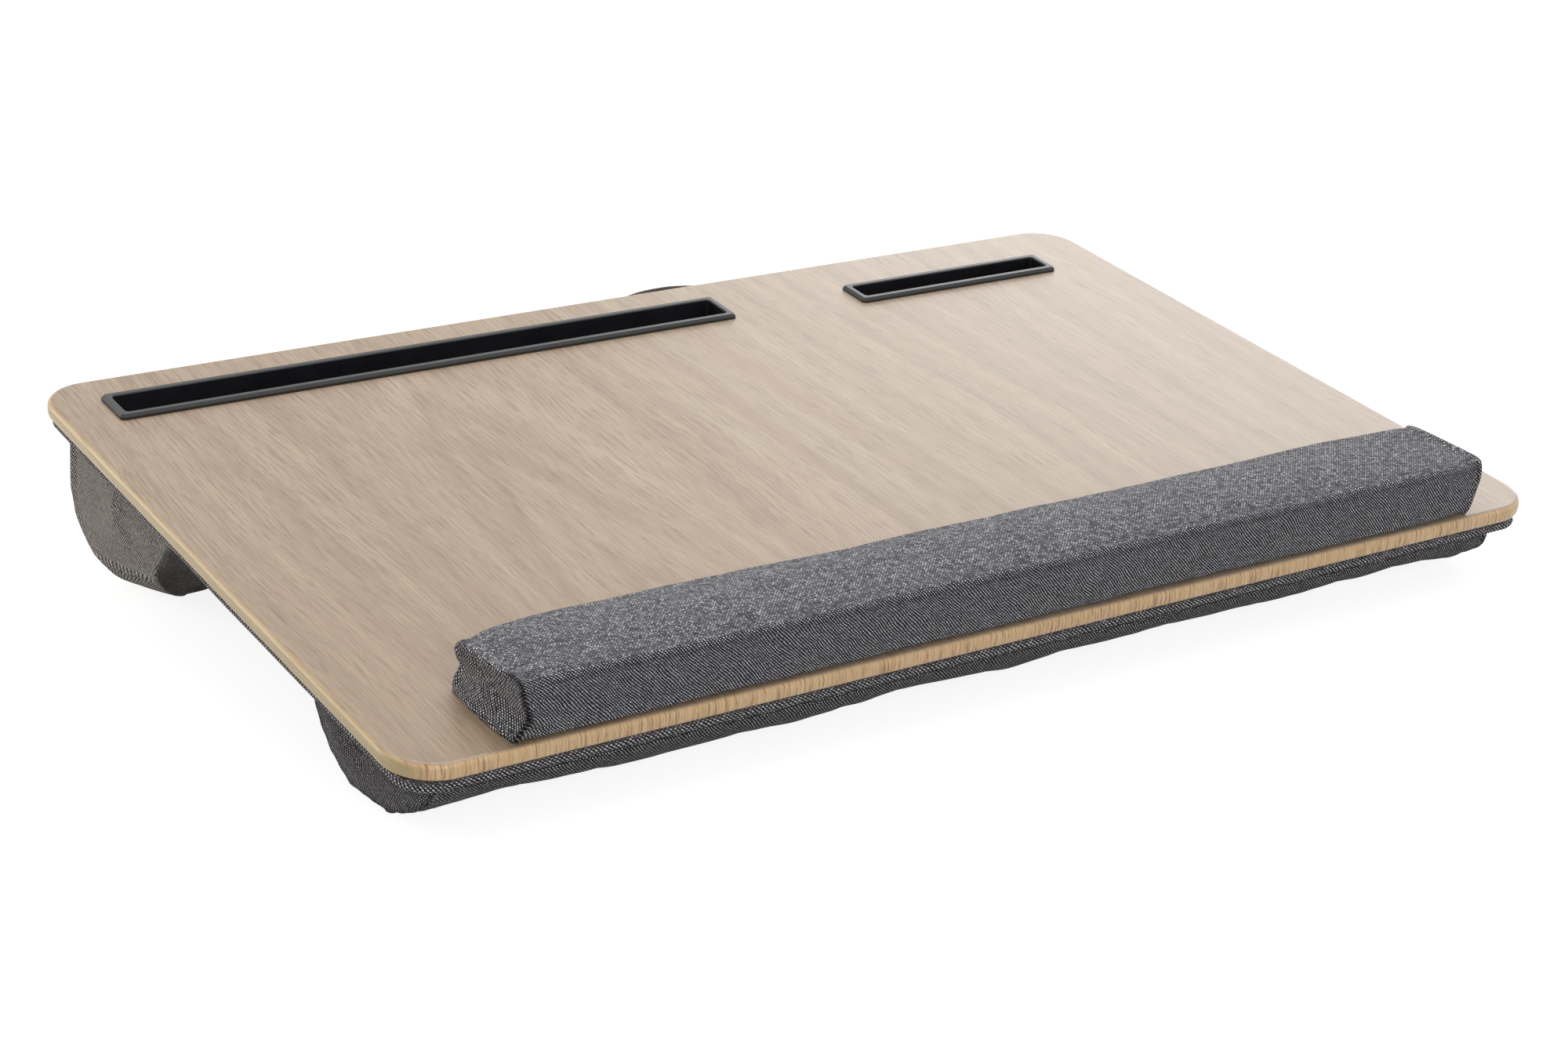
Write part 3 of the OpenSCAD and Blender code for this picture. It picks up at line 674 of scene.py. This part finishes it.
# points of the section's front, foot, back and top; its sewn corners; and where its foot lies in v
REST_N = (9, 15, 9, 17)
REST_CORNERS = [0, sum(REST_N[:3])]
REST_FOOT_ARC = (24, 24 + 46)


def soften(ring, at, reach, times):
    """Rounds a closed ring of points near one index."""
    n = len(ring)
    weight = np.array([max(0.0, 1 - min(abs(i - at), n - abs(i - at)) / reach) for i in range(n)])
    weight = weight[:, None]
    for _ in range(times):
        mean = (np.roll(ring, 1, 0) + np.roll(ring, -1, 0)) / 2
        ring = ring + (mean - ring) * weight * 0.9
    return ring


def rest_section(x):
    side = 1 if x > 0 else -1
    from_end = REST_HALF - abs(x)
    near = math.exp(-from_end / 9)
    crown = REST_CROWN * (1 - math.exp(-from_end / 24))
    crown *= 1 + 0.10 * math.sin(x * 0.045 + 0.7) + 0.08 * math.sin(x * 0.021)
    bulge = REST_BULGE * (1 + 0.25 * math.sin(x * 0.037 + 1.1))
    a, b = np.array([REST_FRONT + 1.4, REST_H]), np.array([REST_FRONT, 0.5])
    c, d = np.array([REST_BACK, 0.5]), np.array([REST_BACK - 1, REST_H * 0.98])
    ring = np.concatenate([
        bez(a, a - [2 + bulge, REST_H * 0.1], b + [-bulge, REST_H * 0.16], b, REST_N[0]),
        line(b, c, REST_N[1]),
        bez(c, c + [2 * bulge, REST_H * 0.2], d + [2 + bulge, -REST_H * 0.16], d, REST_N[2]),
        bez(d, d + [-9, crown * 1.7], a + [7, crown * 1.6], a, REST_N[3])])
    for corner in REST_CORNERS:
        ring = soften(ring, corner, 2.2, 3)
    h = (ring[:, 1] - 0.5) / REST_H
    bow = 1 - (2 * h - 1) ** 2
    cy = ring[:, 0].mean()
    forward = (REST_BACK - ring[:, 0]) / 45
    if side < 0:
        # the cloth folds in along the middle of the left end, and the end's corners are soft
        shift = REST_PINCH * bow + REST_TAPER * forward + 2.8 * np.exp(-((h - 0.35) / 0.13) ** 2)
        shift = shift + 2.6 * np.clip(h - 0.8, 0, 1) / 0.2
        shift = shift + (4.6 - 1.4 * h) * np.clip(1 - forward, 0, 1) ** 2
        fall = REST_DROP * (0.35 + 0.65 * (1 - forward))
    else:
        # the right end stands out at its top and slants in towards the board
        shift = 2.2 - 3.0 * forward + 4.4 * (1 - h) + 0.5 * np.exp(-((h - 0.45) / 0.15) ** 2)
        fall = 0.8
    xs = x - side * near * shift
    drop = fall * h * h * math.exp(-from_end / 12)
    return np.column_stack([xs, cy + (ring[:, 0] - cy) * (1 - 0.05 * near), ring[:, 1] - drop])


def spread(half, dense, step):
    """Places along X, closer together near both ends."""
    edge = half - dense[-1]
    inner = np.linspace(-edge, edge, int(2 * edge / step) + 1)
    return np.concatenate([[-half + d for d in dense[:-1]], inner, [half - d for d in dense[-2::-1]]])


REST_STOPS = [0, 1.2, 2.8, 5, 8, 12]
REST_CAPS = [(0.955, 0.6), (0.86, 1.0), (0.7, 0.9), (0.5, 0.4), (0.28, 0.0), (0.1, -0.2)]
rest = loft("wrist_rest", spread(REST_HALF, REST_STOPS, 4.0), rest_section, on_board, REST,
            REST_CAPS, REST_CORNERS)
# its foot stays on the board
rest_arc = get_value(rest, "arc")
foot = np.where((rest_arc > REST_FOOT_ARC[0]) & (rest_arc < REST_FOOT_ARC[1]), 1.0, 0.0)
inflate(rest, foot * (1 - get_value(rest, "cap")), pressure=2.2, cap=1.6)
subdivide(rest)
seam_detail(rest, corner_groove=0.3, end_groove=1.2, pucker=0.45, pitch=7.0)
# painted shade: a dark pucker down the front left seam, and a painted crease shadow along the front
# just under its top edge
shade_seam(rest, lambda co, end, corner: np.where(
    co[:, 1] < on_board([0, 12, 12])[1],
    np.maximum(np.exp(-(end / 0.9) ** 2) * (co[:, 0] < 0),
               0.4 * np.exp(-((corner - 3.2) / 0.8) ** 2)), 0))
co, nor = read_points(rest), read_normals(rest)
write_points(rest, co + nor * (0.45 * MM * waves(co, 34, 5) + 0.2 * MM * waves(co, 11, 8))[:, None])

# Bolsters, in the standing frame: x from the middle, y from the front edge, z above ground
BASE_IN, BASE_T, STRIP = 3.5, 3.8, 2.0
BASE_UNDER = -BOARD_T - STRIP - BASE_T
SEAT = BASE_UNDER - 0.2
END_LEAN = 3.0
# how far the ends' gathered skin swells out, and what each bolster leaves free at its ends
SWELL = 4.0
REAR_FREE, FRONT_FREE = (8.5, 8.5), (7.0, 18.0)


def ground_yz(y, z):
    return np.array([y * CT - z * ST, y * ST + z * CT + FRONT_H])


BASE_BACK = BOARD_D - BASE_IN
REAR_TOP, FRONT_TOP = 128.0, 99.0
rear_a, rear_b = ground_yz(BASE_BACK - REAR_TOP, SEAT), ground_yz(BASE_BACK - 1, SEAT)
rear_f2 = np.array([rear_b[0] - 24, 0.0])
rear_f1 = rear_f2 - [24, 0]
front_a, front_b = ground_yz(BASE_IN + 1, SEAT), ground_yz(BASE_IN + FRONT_TOP, SEAT)
front_f1 = np.array([front_a[0] + 31, 0.0])
front_f2 = front_f1 + [27, 0]
REAR_N, FRONT_N = (22, 8, 24, 26), (14, 8, 18, 20)


def rear_section(puff, share):
    w, h = REAR_TOP, rear_a[1]
    f1 = rear_f1 + np.array([-46.0, 0.26 * h]) * share

    def blend(a, b):
        return np.array(a) * (1 - share) + np.array(b) * share
    return np.concatenate([
        bez(rear_a, rear_a + blend([0.2 * w, -0.4 * (h + puff)], [0.11 * w, -0.15 * h]),
            f1 + blend([-0.21 * w, 0.24 * h - 0.8 * puff], [-0.03 * w, 0.27 * h]), f1, REAR_N[0]),
        line(f1, rear_f2, REAR_N[1]),
        bez(rear_f2, rear_f2 + [0.17 * w + puff, 0.16 * h], rear_b + [puff, -rear_b[1] / 3], rear_b,
            REAR_N[2]),
        line(rear_b, rear_a, REAR_N[3])])


def front_section(puff):
    w, h = FRONT_TOP, front_a[1]
    return np.concatenate([
        bez(front_a, front_a - [puff / 7, 0.47 * h],
            front_f1 - (0.07 * w + 0.8 * puff) * np.array([1, -0.3]), front_f1, FRONT_N[0]),
        line(front_f1, front_f2, FRONT_N[1]),
        bez(front_f2, front_f2 + [0.12 * w + 0.6 * puff, 0.05 * h],
            front_b + [puff / 5 - 0.02 * w, -0.52 * h], front_b, FRONT_N[2]),
        line(front_b, front_a, FRONT_N[3])])


def bolster_ring(ring, top, x, from_end, end_round, end_up, side):
    """Lifts and leans a section near an end, so the bolster closes in a round."""
    gone = max(0.0, 1 - from_end / end_round)
    c, rise = ring.mean(0), math.tan(TILT)
    lift = end_up / (top[1] + (c[0] - top[0]) * rise) * (1 - math.sqrt(1 - gone * gone))
    x_in = ring[:, 0] + (c[0] - ring[:, 0]) * 0.04 * gone
    below = top[1] + (ring[:, 0] - top[0]) * rise - ring[:, 1]
    z = top[1] + (x_in - top[0]) * rise - below * (1 - lift)
    lean = END_LEAN * gone * (1 - below / (top[1] + (c[0] - top[0]) * rise)) ** 2
    return np.column_stack([x - side * lean, x_in, z])


def bolster(rear, free):
    """One bolster; free is what it leaves of the board's width at its left and right end."""
    low, high = free[0] - BOARD_W / 2 + SWELL, BOARD_W / 2 - free[1] - SWELL
    top = rear_a if rear else front_a
    wave = 1.9 if rear else 3.1

    def section(x):
        from_end = min(x - low, high - x)
        puff = 7 * (0.8 + 0.2 * min(1, from_end / 90)) * (1 + 0.10 * math.sin(math.radians(wave * x)))
        if not rear:
            puff *= 1 + 0.22 * math.sin(x * 0.052 + 0.4) * math.sin(x * 0.017)
        ring = rear_section(puff, max(0, 1 - from_end / 30)) if rear else front_section(puff)
        return bolster_ring(ring, top, x, from_end, 26 if rear else 14, 18 if rear else 3,
                            1 if x > (low + high) / 2 else -1)
    stops = [0, 1.5, 3.5, 6, 9, 13, 18, 24]
    mid, half = (low + high) / 2, (high - low) / 2
    xs = spread(half, stops, 4.5) + mid
    count = REAR_N if rear else FRONT_N
    caps = [(0.97, SWELL * 0.22), (0.9, SWELL * 0.45), (0.8, SWELL * 0.65), (0.66, SWELL * 0.82),
            (0.5, SWELL * 0.93), (0.32, SWELL), (0.14, SWELL)]
    corners = [0, count[0], sum(count[:3])]
    obj = loft("rear_bolster" if rear else "front_bolster", xs, section, standing,
               REAR_CLOTH if rear else BOLSTER, caps, corners)
    arc, cap = get_value(obj, "arc"), get_value(obj, "cap")
    z = read_points(obj)[:, 2]
    mid_ring = section(mid)[:, 1:]
    step = np.linalg.norm(np.roll(mid_ring, -1, 0) - mid_ring, axis=1)
    top_from = np.cumsum(step)[corners[2] - 1]
    pin = np.where((cap < 0.5) & ((arc >= top_from - 0.5) | (arc < 0.5)), 1.0, 0.0)
    pin = np.maximum(pin, np.where(z < 0.3 * MM, 1.0, 0.0))
    pin = np.maximum(pin, np.where(get_value(obj, "end") < 0.4, 0.35, 0.0))
    inflate(obj, pin, pressure=2.4, cap=3.0, grow=0.012 if rear else 0.005)
    subdivide(obj)
    seam_detail(obj, corner_groove=0.25 if rear else 0.5, end_groove=1.3,
                pucker=0.15 if rear else 0.35, pitch=10.0)
    # painted shade along the front bolster's end seams
    if not rear:
        shade_seam(obj, lambda co, end, corner: 0.7 * np.exp(-(end / 1.2) ** 2))
    co, nor = read_points(obj), read_normals(obj)
    off_ground = np.clip((co[:, 2] - 1.0 * MM) / (6 * MM), 0, 1)
    lumps = 0.9 * MM * waves(co, 55, 2) + 0.35 * MM * waves(co, 20, 4)
    co = co + nor * (lumps * off_ground)[:, None]
    if not rear:
        # the left corner of the front seam stands out as a small ear, and the cloth beside it lifts
        x, y = co[:, 0] / MM, co[:, 1] / MM - FRONT
        near = np.exp(-np.clip(co[:, 2] / MM, 0, 50) / 5.0)
        near = near * np.exp(-(np.clip(y - 34, -99, 99) / 12.0) ** 2)
        rise = 2.4 * np.exp(-((x + 236) / 9.0) ** 2) + 1.2 * np.exp(-((x + 266) / 2.2) ** 2)
        co[:, 2] += MM * near * rise
        co[:, 1] -= MM * near * 1.5 * np.exp(-((x + 255) / 6.0) ** 2)
    co[:, 2] = np.maximum(co[:, 2], 0.0)
    # nothing rises through the base
    ceiling = (top[1] + (co[:, 1] / MM - FRONT - top[0]) * math.tan(TILT)) * MM
    co[:, 2] = np.minimum(co[:, 2], ceiling + 0.1 * MM)
    write_points(obj, co)
    return obj


rear_bolster = bolster(True, REAR_FREE)
front_bolster = bolster(False, FRONT_FREE)


# Fabric base under the board: a thin quilt with a full, soft edge
def rounded_outline(w, d, r, step):
    """Closed outline from the front left corner, anticlockwise, with its outward normals."""
    pts, nor = [], []

    def run(a, b, n):
        k = max(2, int(np.linalg.norm(np.subtract(b, a)) / step))
        for t in np.linspace(0, 1, k, endpoint=False):
            pts.append(np.add(a, np.multiply(np.subtract(b, a), t)))
            nor.append(n)

    def turn(c, a0):
        k = max(4, int(r * math.pi / 2 / (step * 0.6)))
        for t in np.linspace(0, math.pi / 2, k, endpoint=False):
            n = (math.cos(a0 + t), math.sin(a0 + t))
            pts.append(np.array([c[0] + r * n[0], c[1] + r * n[1]]))
            nor.append(n)
    x, y0, y1 = w / 2, 0.0, d
    run((-x + r, y0), (x - r, y0), (0, -1))
    turn((x - r, y0 + r), -math.pi / 2)
    run((x, y0 + r), (x, y1 - r), (1, 0))
    turn((x - r, y1 - r), 0)
    run((x - r, y1), (-x + r, y1), (0, 1))
    turn((-x + r, y1 - r), math.pi / 2)
    run((-x, y1 - r), (-x, y0 + r), (-1, 0))
    turn((-x + r, y0 + r), math.pi)
    return np.array(pts), np.array(nor)


BASE_R, BASE_STEP = 13.0, 2.2
BASE_SHARES = (0.9, 0.75, 0.58, 0.4, 0.22, 0.08)
# the edge's profile from its upper side round to its lower: mm outwards, and height in half sheets
BASE_EDGE = [(-9, 1), (-4, 1), (-2.2, 0.99), (-1.2, 0.9), (-0.45, 0.7), (0.1, 0.4), (0.35, 0.0),
             (0.1, -0.42), (-0.45, -0.74), (-1.2, -0.94), (-2.2, -1.0), (-4, -1.02), (-9, -1)]


def fabric_base():
    w, d = BOARD_W - 2 * BASE_IN, BASE_BACK - BASE_IN
    line_pts, line_nor = rounded_outline(w, d, BASE_R, BASE_STEP)
    line_pts[:, 1] += BASE_IN
    n = len(line_pts)
    seg = np.linalg.norm(np.roll(line_pts, -1, 0) - line_pts, axis=1)
    along = np.concatenate([[0], np.cumsum(seg)])
    half = BASE_T / 2
    profile = [(out, half * z) for out, z in BASE_EDGE]
    steps = np.concatenate([[0], np.cumsum(np.linalg.norm(np.diff(np.array(profile), axis=0), axis=1))])
    wig = np.array([noise.noise(Vector((p[0] / 45, p[1] / 45, 0.3))) for p in line_pts])
    rings = []
    for out, z in profile:
        k = np.clip(1 + out / 4, 0, 1)
        height = np.full(n, BASE_UNDER + half + z) + 0.25 * wig * k
        rings.append(np.column_stack([line_pts + line_nor * (out + 0.5 * wig * k)[:, None], height]))
    centre = np.array([0, BASE_IN + d / 2])

    def inward(ring, share):
        return np.column_stack([centre + (ring[:, :2] - centre) * share, ring[:, 2]])
    inner_top = [inward(rings[0], share) for share in BASE_SHARES]
    all_rings = inner_top[::-1] + rings + [inward(rings[-1], share) for share in BASE_SHARES]
    points = np.concatenate(all_rings + [np.array([all_rings[0].mean(0), all_rings[-1].mean(0)])])
    total, first = len(all_rings), len(inner_top)
    faces, uv = [], []
    for i in range(total - 1):
        edge = first <= i < first + len(rings) - 1
        for j in range(n):
            jj = (j + 1) % n
            quad = [(i + 1) * n + j, (i + 1) * n + jj, i * n + jj, i * n + j]
            faces.append(quad)
            if edge:
                s0, s1 = steps[i - first], steps[i - first + 1]
                uv += [(along[j], s1), (along[j + 1], s1), (along[j + 1], s0), (along[j], s0)]
            else:
                uv += [(points[q][0], points[q][1]) for q in quad]
    for end, tip in ((0, total * n), (total - 1, total * n + 1)):
        for j in range(n):
            jj = (j + 1) % n
            tri = [end * n + j, end * n + jj, tip] if end == 0 else [end * n + jj, end * n + j, tip]
            faces.append(tri)
            uv += [(points[q][0], points[q][1]) for q in tri]
    return new_mesh("fabric_base", on_board(points), faces, BASE, uv)


base = fabric_base()


# Carry loop: one strap, stapled under the board at both ends and turned on edge in its middle
LOOP_X, LOOP_HALF, LOOP_REACH, STRAP_W, STRAP_T = 56.0, 33.0, 27.0, 16.0, 1.3
DROOP, SEAM_OUT, SEAM_GAP, END_L = math.radians(26.5), 1.2, 0.6, 20.0
END_STEPS, LOOP_STEPS = 11, 56
STRAP_MID = -BOARD_T - 0.05 - STRAP_T / 2
SEAM_Y = BOARD_D + SEAM_OUT


def strap():
    """One section follows frames of place, width and thickness along the whole strap."""
    start_y, seam_y = BOARD_D - END_L, BOARD_D + SEAM_OUT - SEAM_GAP
    frames = []

    def flat_end(side, ys):
        for y in ys:
            frames.append((np.array([side * LOOP_HALF, y, 0.0]), np.array([side * 1.0, 0, 0]),
                           np.array([0, 0, 1.0])))
    flat_end(-1, np.linspace(start_y, seam_y, END_STEPS))
    cd, sd = math.cos(DROOP), math.sin(DROOP)

    def drooped(v, place):
        y, z = v[1] * cd + v[2] * sd, -v[1] * sd + v[2] * cd
        return np.array([v[0], (SEAM_Y if place else 0) + y, z])
    for i in range(LOOP_STEPS + 1):
        a = math.pi - math.pi * i / LOOP_STEPS
        at = np.array([LOOP_HALF * math.cos(a), LOOP_REACH * math.sin(a) + SEAM_GAP, 0.0])
        raw = np.array([math.cos(a) / LOOP_HALF, math.sin(a) / LOOP_REACH])
        out = raw / np.linalg.norm(raw)
        turn = math.pi / 2 * (1 - abs(math.cos(a)) ** 1.3)
        wide = np.array([out[0] * math.cos(turn), out[1] * math.cos(turn), math.sin(turn)])
        thick = np.array([-out[0] * math.sin(turn), -out[1] * math.sin(turn), math.cos(turn)])
        frames.append((drooped(at, True), drooped(wide, False), drooped(thick, False)))
    flat_end(1, np.linspace(seam_y, start_y, END_STEPS))
    sec = []
    hw, ht = STRAP_W / 2, STRAP_T / 2
    for sx in (1, -1):
        for a in np.linspace(-math.pi / 2, math.pi / 2, 5):
            sec.append((sx * (hw - ht + ht * math.cos(a)), sx * ht * math.sin(a)))
        for t in (0.5, 0.0, -0.5):
            sec.append((sx * t * hw, sx * ht))
    sec = np.array(sec)
    m = len(sec)
    arc = np.concatenate([[0], np.cumsum(np.linalg.norm(np.roll(sec, -1, 0) - sec, axis=1))])
    places, points = [0.0], []
    for q, (c, wide, thick) in enumerate(frames):
        if q:
            places.append(places[-1] + np.linalg.norm(c - frames[q - 1][0]))
        lift = 0.10 * math.sin(places[-1] * 0.35)
        for sx, sz in sec:
            p = c + wide * sx + thick * (sz + lift * 0.3)
            points.append([p[0] + LOOP_X, p[1], p[2] + STRAP_MID])
    faces, uv = [], []
    for q in range(len(frames) - 1):
        for j in range(m):
            jj = (j + 1) % m
            faces.append([q * m + j, q * m + jj, (q + 1) * m + jj, (q + 1) * m + j])
            s0, s1 = places[q], places[q + 1]
            uv += [(s0, arc[j]), (s0, arc[j + 1]), (s1, arc[j + 1]), (s1, arc[j])]
    last = (len(frames) - 1) * m
    faces.append(list(range(m - 1, -1, -1)))
    uv += [(0, arc[j]) for j in range(m - 1, -1, -1)]
    faces.append([last + j for j in range(m)])
    uv += [(places[-1], arc[j]) for j in range(m)]
    return new_mesh("carry_strap", on_board(points), faces, STRAP, uv)


loop = strap()


# Thread along the seams of the bolsters' ends
# its distance from the seam, how far from that its points may lie, and the gap that parts a thread
THREAD_OUT, THREAD_REACH, THREAD_JUMP = 2.0, 0.75, 9.0


def ring_path(obj, side):
    """The skin just inside one end seam, as places with normals, in order round the section."""
    co, nor = read_points(obj), read_normals(obj)
    end, arc, cap = get_value(obj, "end"), get_value(obj, "arc"), get_value(obj, "cap")
    pick = (np.sign(co[:, 0]) == side) & (cap < 0.5)
    pick &= (end > THREAD_OUT - THREAD_REACH) & (end < THREAD_OUT + THREAD_REACH)
    # neither under the bolster nor where it meets the base
    pick &= (co[:, 2] > 2.5 * MM) & (nor[:, 2] < 0.75)
    order = np.argsort(arc[pick])
    c, n = co[pick][order], nor[pick][order]
    good = np.concatenate([[True], np.linalg.norm(np.diff(c, axis=0), axis=1) > 0.4 * MM])
    return c[good], n[good]


threads = []
for piece, name in ((rear_bolster, "rear_end_stitch"), (front_bolster, "front_end_stitch")):
    for side in (-1, 1):
        path, nrm = ring_path(piece, side)
        if len(path) > 6:
            jump = np.linalg.norm(np.diff(path, axis=0), axis=1)
            cuts = np.concatenate([[0], np.where(jump > THREAD_JUMP * MM)[0] + 1, [len(path)]])
            for i, (a, b) in enumerate(zip(cuts[:-1], cuts[1:])):
                if b - a > 4:
                    full_name = f"{name}_{'l' if side < 0 else 'r'}{i}"
                    threads.append(stitches(full_name, path[a:b], nrm[a:b]))

# What each piece stands for and rides on
for piece, nodes, slot_name in (
    (rest, ("wrist_rest_cover", "wrist_rest_foam"), "rest_fabric"),
    (rear_bolster, ("rear_bolster_cover", "rear_bolster_filling"), "bolster_fabric"),
    (front_bolster, ("front_bolster_cover", "front_bolster_filling"), "bolster_fabric"),
    (base, ("base_cover",), "base_fabric"),
):
    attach(piece, "desk")
    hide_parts(*nodes)
tuple(on_board([LOOP_X, BOARD_D + 0.2, STRAP_MID]))
tuple(on_board([LOOP_X, SEAM_Y + 2.2, STRAP_MID]))
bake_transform(loop)
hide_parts("strap_ends", "carry_loop")
for piece in threads:
    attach(piece, "desk")


# Floor, light and camera. The floor lies just under the ground, so the two never share a plane
FLOOR_DOWN = 0.2


def floor():
    """White to the camera and in reflections, grey to all other light."""
    g = Graph("floor")
    path = g.node("ShaderNodeLightPath")
    ray = g.math("MAXIMUM", path.outputs["Is Camera Ray"], path.outputs["Is Glossy Ray"])
    base_shader = g.node("ShaderNodeBsdfDiffuse")
    base_shader.inputs["Color"].default_value = (0.42, 0.42, 0.42, 1)
    glow = g.node("ShaderNodeEmission")
    glow.inputs["Color"].default_value = (1, 1, 1, 1)
    g.put(glow.inputs["Strength"], g.mul(ray, 0.87))
    both = g.node("ShaderNodeAddShader")
    g.put(both.inputs[0], base_shader.outputs[0])
    g.put(both.inputs[1], glow.outputs[0])
    g.put(g.out.inputs[0], both.outputs[0])
    corners = [(x, y, -FLOOR_DOWN * MM) for x, y in ((-9, -9), (9, -9), (9, 9), (-9, 9))]
    new_mesh("floor", corners, [[0, 1, 2, 3]], g.mat, smooth=False)


def world():
    w = bpy.data.worlds.new("sky")
    bpy.context.scene.world = w
    w.use_nodes = True
    t = w.node_tree
    bg = t.nodes["Background"]
    path = t.nodes.new("ShaderNodeLightPath")
    either = t.nodes.new("ShaderNodeMath")
    either.operation = "MAXIMUM"
    mixer = t.nodes.new("ShaderNodeMix")
    mixer.data_type = "FLOAT"
    mixer.inputs[2].default_value = 0.30
    mixer.inputs[3].default_value = 1.0
    t.links.new(path.outputs["Is Camera Ray"], either.inputs[0])
    t.links.new(path.outputs["Is Glossy Ray"], either.inputs[1])
    t.links.new(either.outputs[0], mixer.inputs[0])
    t.links.new(mixer.outputs[0], bg.inputs["Strength"])
    bg.inputs["Color"].default_value = (1.0, 1.0, 1.0, 1)


def area(name, place, look_at, size, power, color=(1, 1, 1)):
    light = bpy.data.lights.new(name, "AREA")
    light.shape = "RECTANGLE"
    light.size, light.size_y = size
    light.energy = power
    light.color = color
    obj = bpy.data.objects.new(name, light)
    bpy.context.scene.collection.objects.link(obj)
    obj.location = place
    obj.rotation_euler = (Vector(look_at) - Vector(place)).to_track_quat("-Z", "Y").to_euler()


floor()
world()
area("top_soft", (0.30, 0.35, 1.8), (0, 0, 0), (1.6, 1.2), 20)
area("rear_right", (1.9, 1.5, 0.85), (0, 0, 0.05), (1.6, 1.2), 12)
area("left_soft", (-1.35, 1.25, 0.45), (-0.25, 0.1, 0.03), (0.9, 0.7), 9.5, (1.0, 0.92, 0.84))
area("front_soft", (-0.6, -2.2, 0.9), (0, 0, 0.03), (1.4, 0.8), 13)

# The camera's place in mm and its axes, all in the board's frame
SENSOR, FOCAL_PX, PICTURE_W = 36, 3904.82, 2000
CAMERA_AT = [-697.677, -802.959, 547.595]
turn = Matrix.Rotation(TILT, 3, "X")
right = turn @ Vector((0.835404, -0.54302, 0.085025))
down = turn @ Vector((-0.17527, -0.409808, -0.895175))
ahead = turn @ Vector((0.520942, 0.73293, -0.437531))
cam_data = bpy.data.cameras.new("camera")
cam = bpy.data.objects.new("camera", cam_data)
bpy.context.scene.collection.objects.link(cam)
cam_data.sensor_width = SENSOR
cam_data.lens = SENSOR * FOCAL_PX / PICTURE_W
cam_data.clip_start, cam_data.clip_end = 0.05, 60
cam.matrix_world = Matrix.Translation(Vector(on_board(CAMERA_AT))) @ Matrix(
    (right, -down, -ahead)).transposed().to_4x4()
bpy.context.scene.camera = cam
bpy.context.scene.view_settings.view_transform = "Standard"
